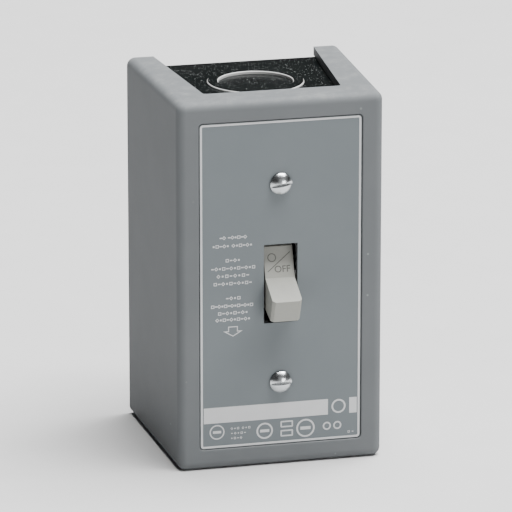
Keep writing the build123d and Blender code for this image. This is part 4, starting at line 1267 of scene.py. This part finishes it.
@dataclass
class OverCentreSprings:
    """The two springs between the yoke's posts and the toggle's drive pin."""

    effects: Effects
    packed: bpy.types.Object
    merge_distance: float = 0.001  # millimetres

    def build(self) -> bpy.types.Object:
        """Copies the springs, closes their surface, gives them a finish and hides the packed ones.

        Returns:
            The springs.
        """
        springs = copy_at(self.packed, Matrix.Identity(4))
        springs.name = springs.data.name = "spring_wires"
        pick(springs)
        bpy.ops.object.parent_clear(type="CLEAR_KEEP_TRANSFORM")
        bpy.ops.object.mode_set(mode="EDIT")
        bpy.ops.mesh.select_all(action="SELECT")
        bpy.ops.mesh.remove_doubles(threshold=self.merge_distance * MM)
        bpy.ops.mesh.normals_make_consistent(inside=False)
        bpy.ops.object.mode_set(mode="OBJECT")
        low, high = (Vector(corner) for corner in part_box("over_centre_springs"))
        springs.data.materials.clear()
        springs.data.materials.append(SPRING_STEEL.build(self.effects, "spring_wires", low, high))
        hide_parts("over_centre_springs")
        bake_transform(springs)
        LOG.info("over-centre springs")
        return springs

    @staticmethod
    def _middle(name: str) -> Vector:
        """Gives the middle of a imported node's box."""
        low, high = (Vector(corner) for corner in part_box(name))
        return (low + high) / 2


@dataclass
class Studio:
    """Floor, lights and camera."""

    effects: Effects
    camera_at: tuple[float, float, float] = (-0.3237, -1.3221, 0.3971)
    target: tuple[float, float, float] = (0.0, -0.0275, -0.0003)
    lens: float = 329.1
    sensor_width: float = 36.0
    clip_start: float = 0.05
    floor_size: float = 8.0
    world_strength: float = 0.05
    lights: tuple[tuple[str, tuple[float, float, float], float, float], ...] = (  # name, place, side, watts
        ("top_light", (0.8, -0.1, 3.0), 2.6, 490.0),
        ("front_light", (0.9, -1.9, 0.15), 0.9, 19.0),
        ("front_panel", (0.6, -3.4, 0.8), 3.0, 8.0),
    )

    def build(self) -> None:
        """Builds the floor, the lights, the world and the camera."""
        self._floor()
        self._world()
        for name, place, size, power in self.lights:
            self._light(name, place, size, power)
        self._camera()
        LOG.info("studio")

    def _floor(self) -> None:
        """Builds the pale floor under the object."""
        low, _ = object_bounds()
        deselect_all()
        bpy.ops.mesh.primitive_plane_add(size=self.floor_size)
        floor = bpy.context.active_object
        floor.name = "studio_floor"
        settle(floor, Matrix.Translation((0.0, 0.0, low[2])))
        half = self.floor_size / 2
        corners = Vector((-half, -half, 0.0)), Vector((half, half, 0.1))
        floor.data.materials.append(STUDIO_WHITE.build(self.effects, "floor", *corners))
        floor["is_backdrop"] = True

    def _world(self) -> None:
        """Sets a plain pale surround."""
        world = bpy.data.worlds.new("studio")
        world.use_nodes = True
        back = world.node_tree.nodes["Background"]
        back.inputs["Color"].default_value = (1.0, 1.0, 1.0, 1.0)
        back.inputs["Strength"].default_value = self.world_strength
        bpy.context.scene.world = world

    def _light(self, name: str, place: tuple[float, float, float], size: float, power: float) -> None:
        """Adds a square area light that faces the object.

        Args:
            name: The light's name.
            place: Where it stands.
            size: Its side in metres.
            power: Its power in watts.
        """
        data = bpy.data.lights.new(name, "AREA")
        data.size = size
        data.energy = power
        lamp = bpy.data.objects.new(name, data)
        lamp.location = place
        lamp.rotation_euler = (Vector(self.target) - Vector(place)).to_track_quat("-Z", "Y").to_euler()
        bpy.context.collection.objects.link(lamp)

    def _camera(self) -> None:
        """Adds the camera and makes it the scene's."""
        data = bpy.data.cameras.new("camera")
        data.lens = self.lens
        data.sensor_width = self.sensor_width
        data.clip_start = self.clip_start
        camera = bpy.data.objects.new("camera", data)
        camera.location = self.camera_at
        look = Vector(self.target) - Vector(self.camera_at)
        camera.rotation_euler = look.to_track_quat("-Z", "Y").to_euler()
        bpy.context.collection.objects.link(camera)
        bpy.context.scene.camera = camera


def main() -> None:
    """Builds every piece in order."""
    logging.basicConfig(level=logging.INFO, format="%(message)s")
    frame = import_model()
    effects = Effects()
    PackedPieces(effects).dress(frame["nodes"])
    NameplatePrint(effects).build()
    pivot = next(joint["pos_m"] for joint in frame["joints"] if joint["name"] == "toggle_tilt")
    ToggleMarks(effects, Vector(pivot)).build()
    OverCentreSprings(effects, frame["nodes"]["over_centre_springs"]).build()
    Studio(effects).build()


if __name__ == "__main__":
    main()
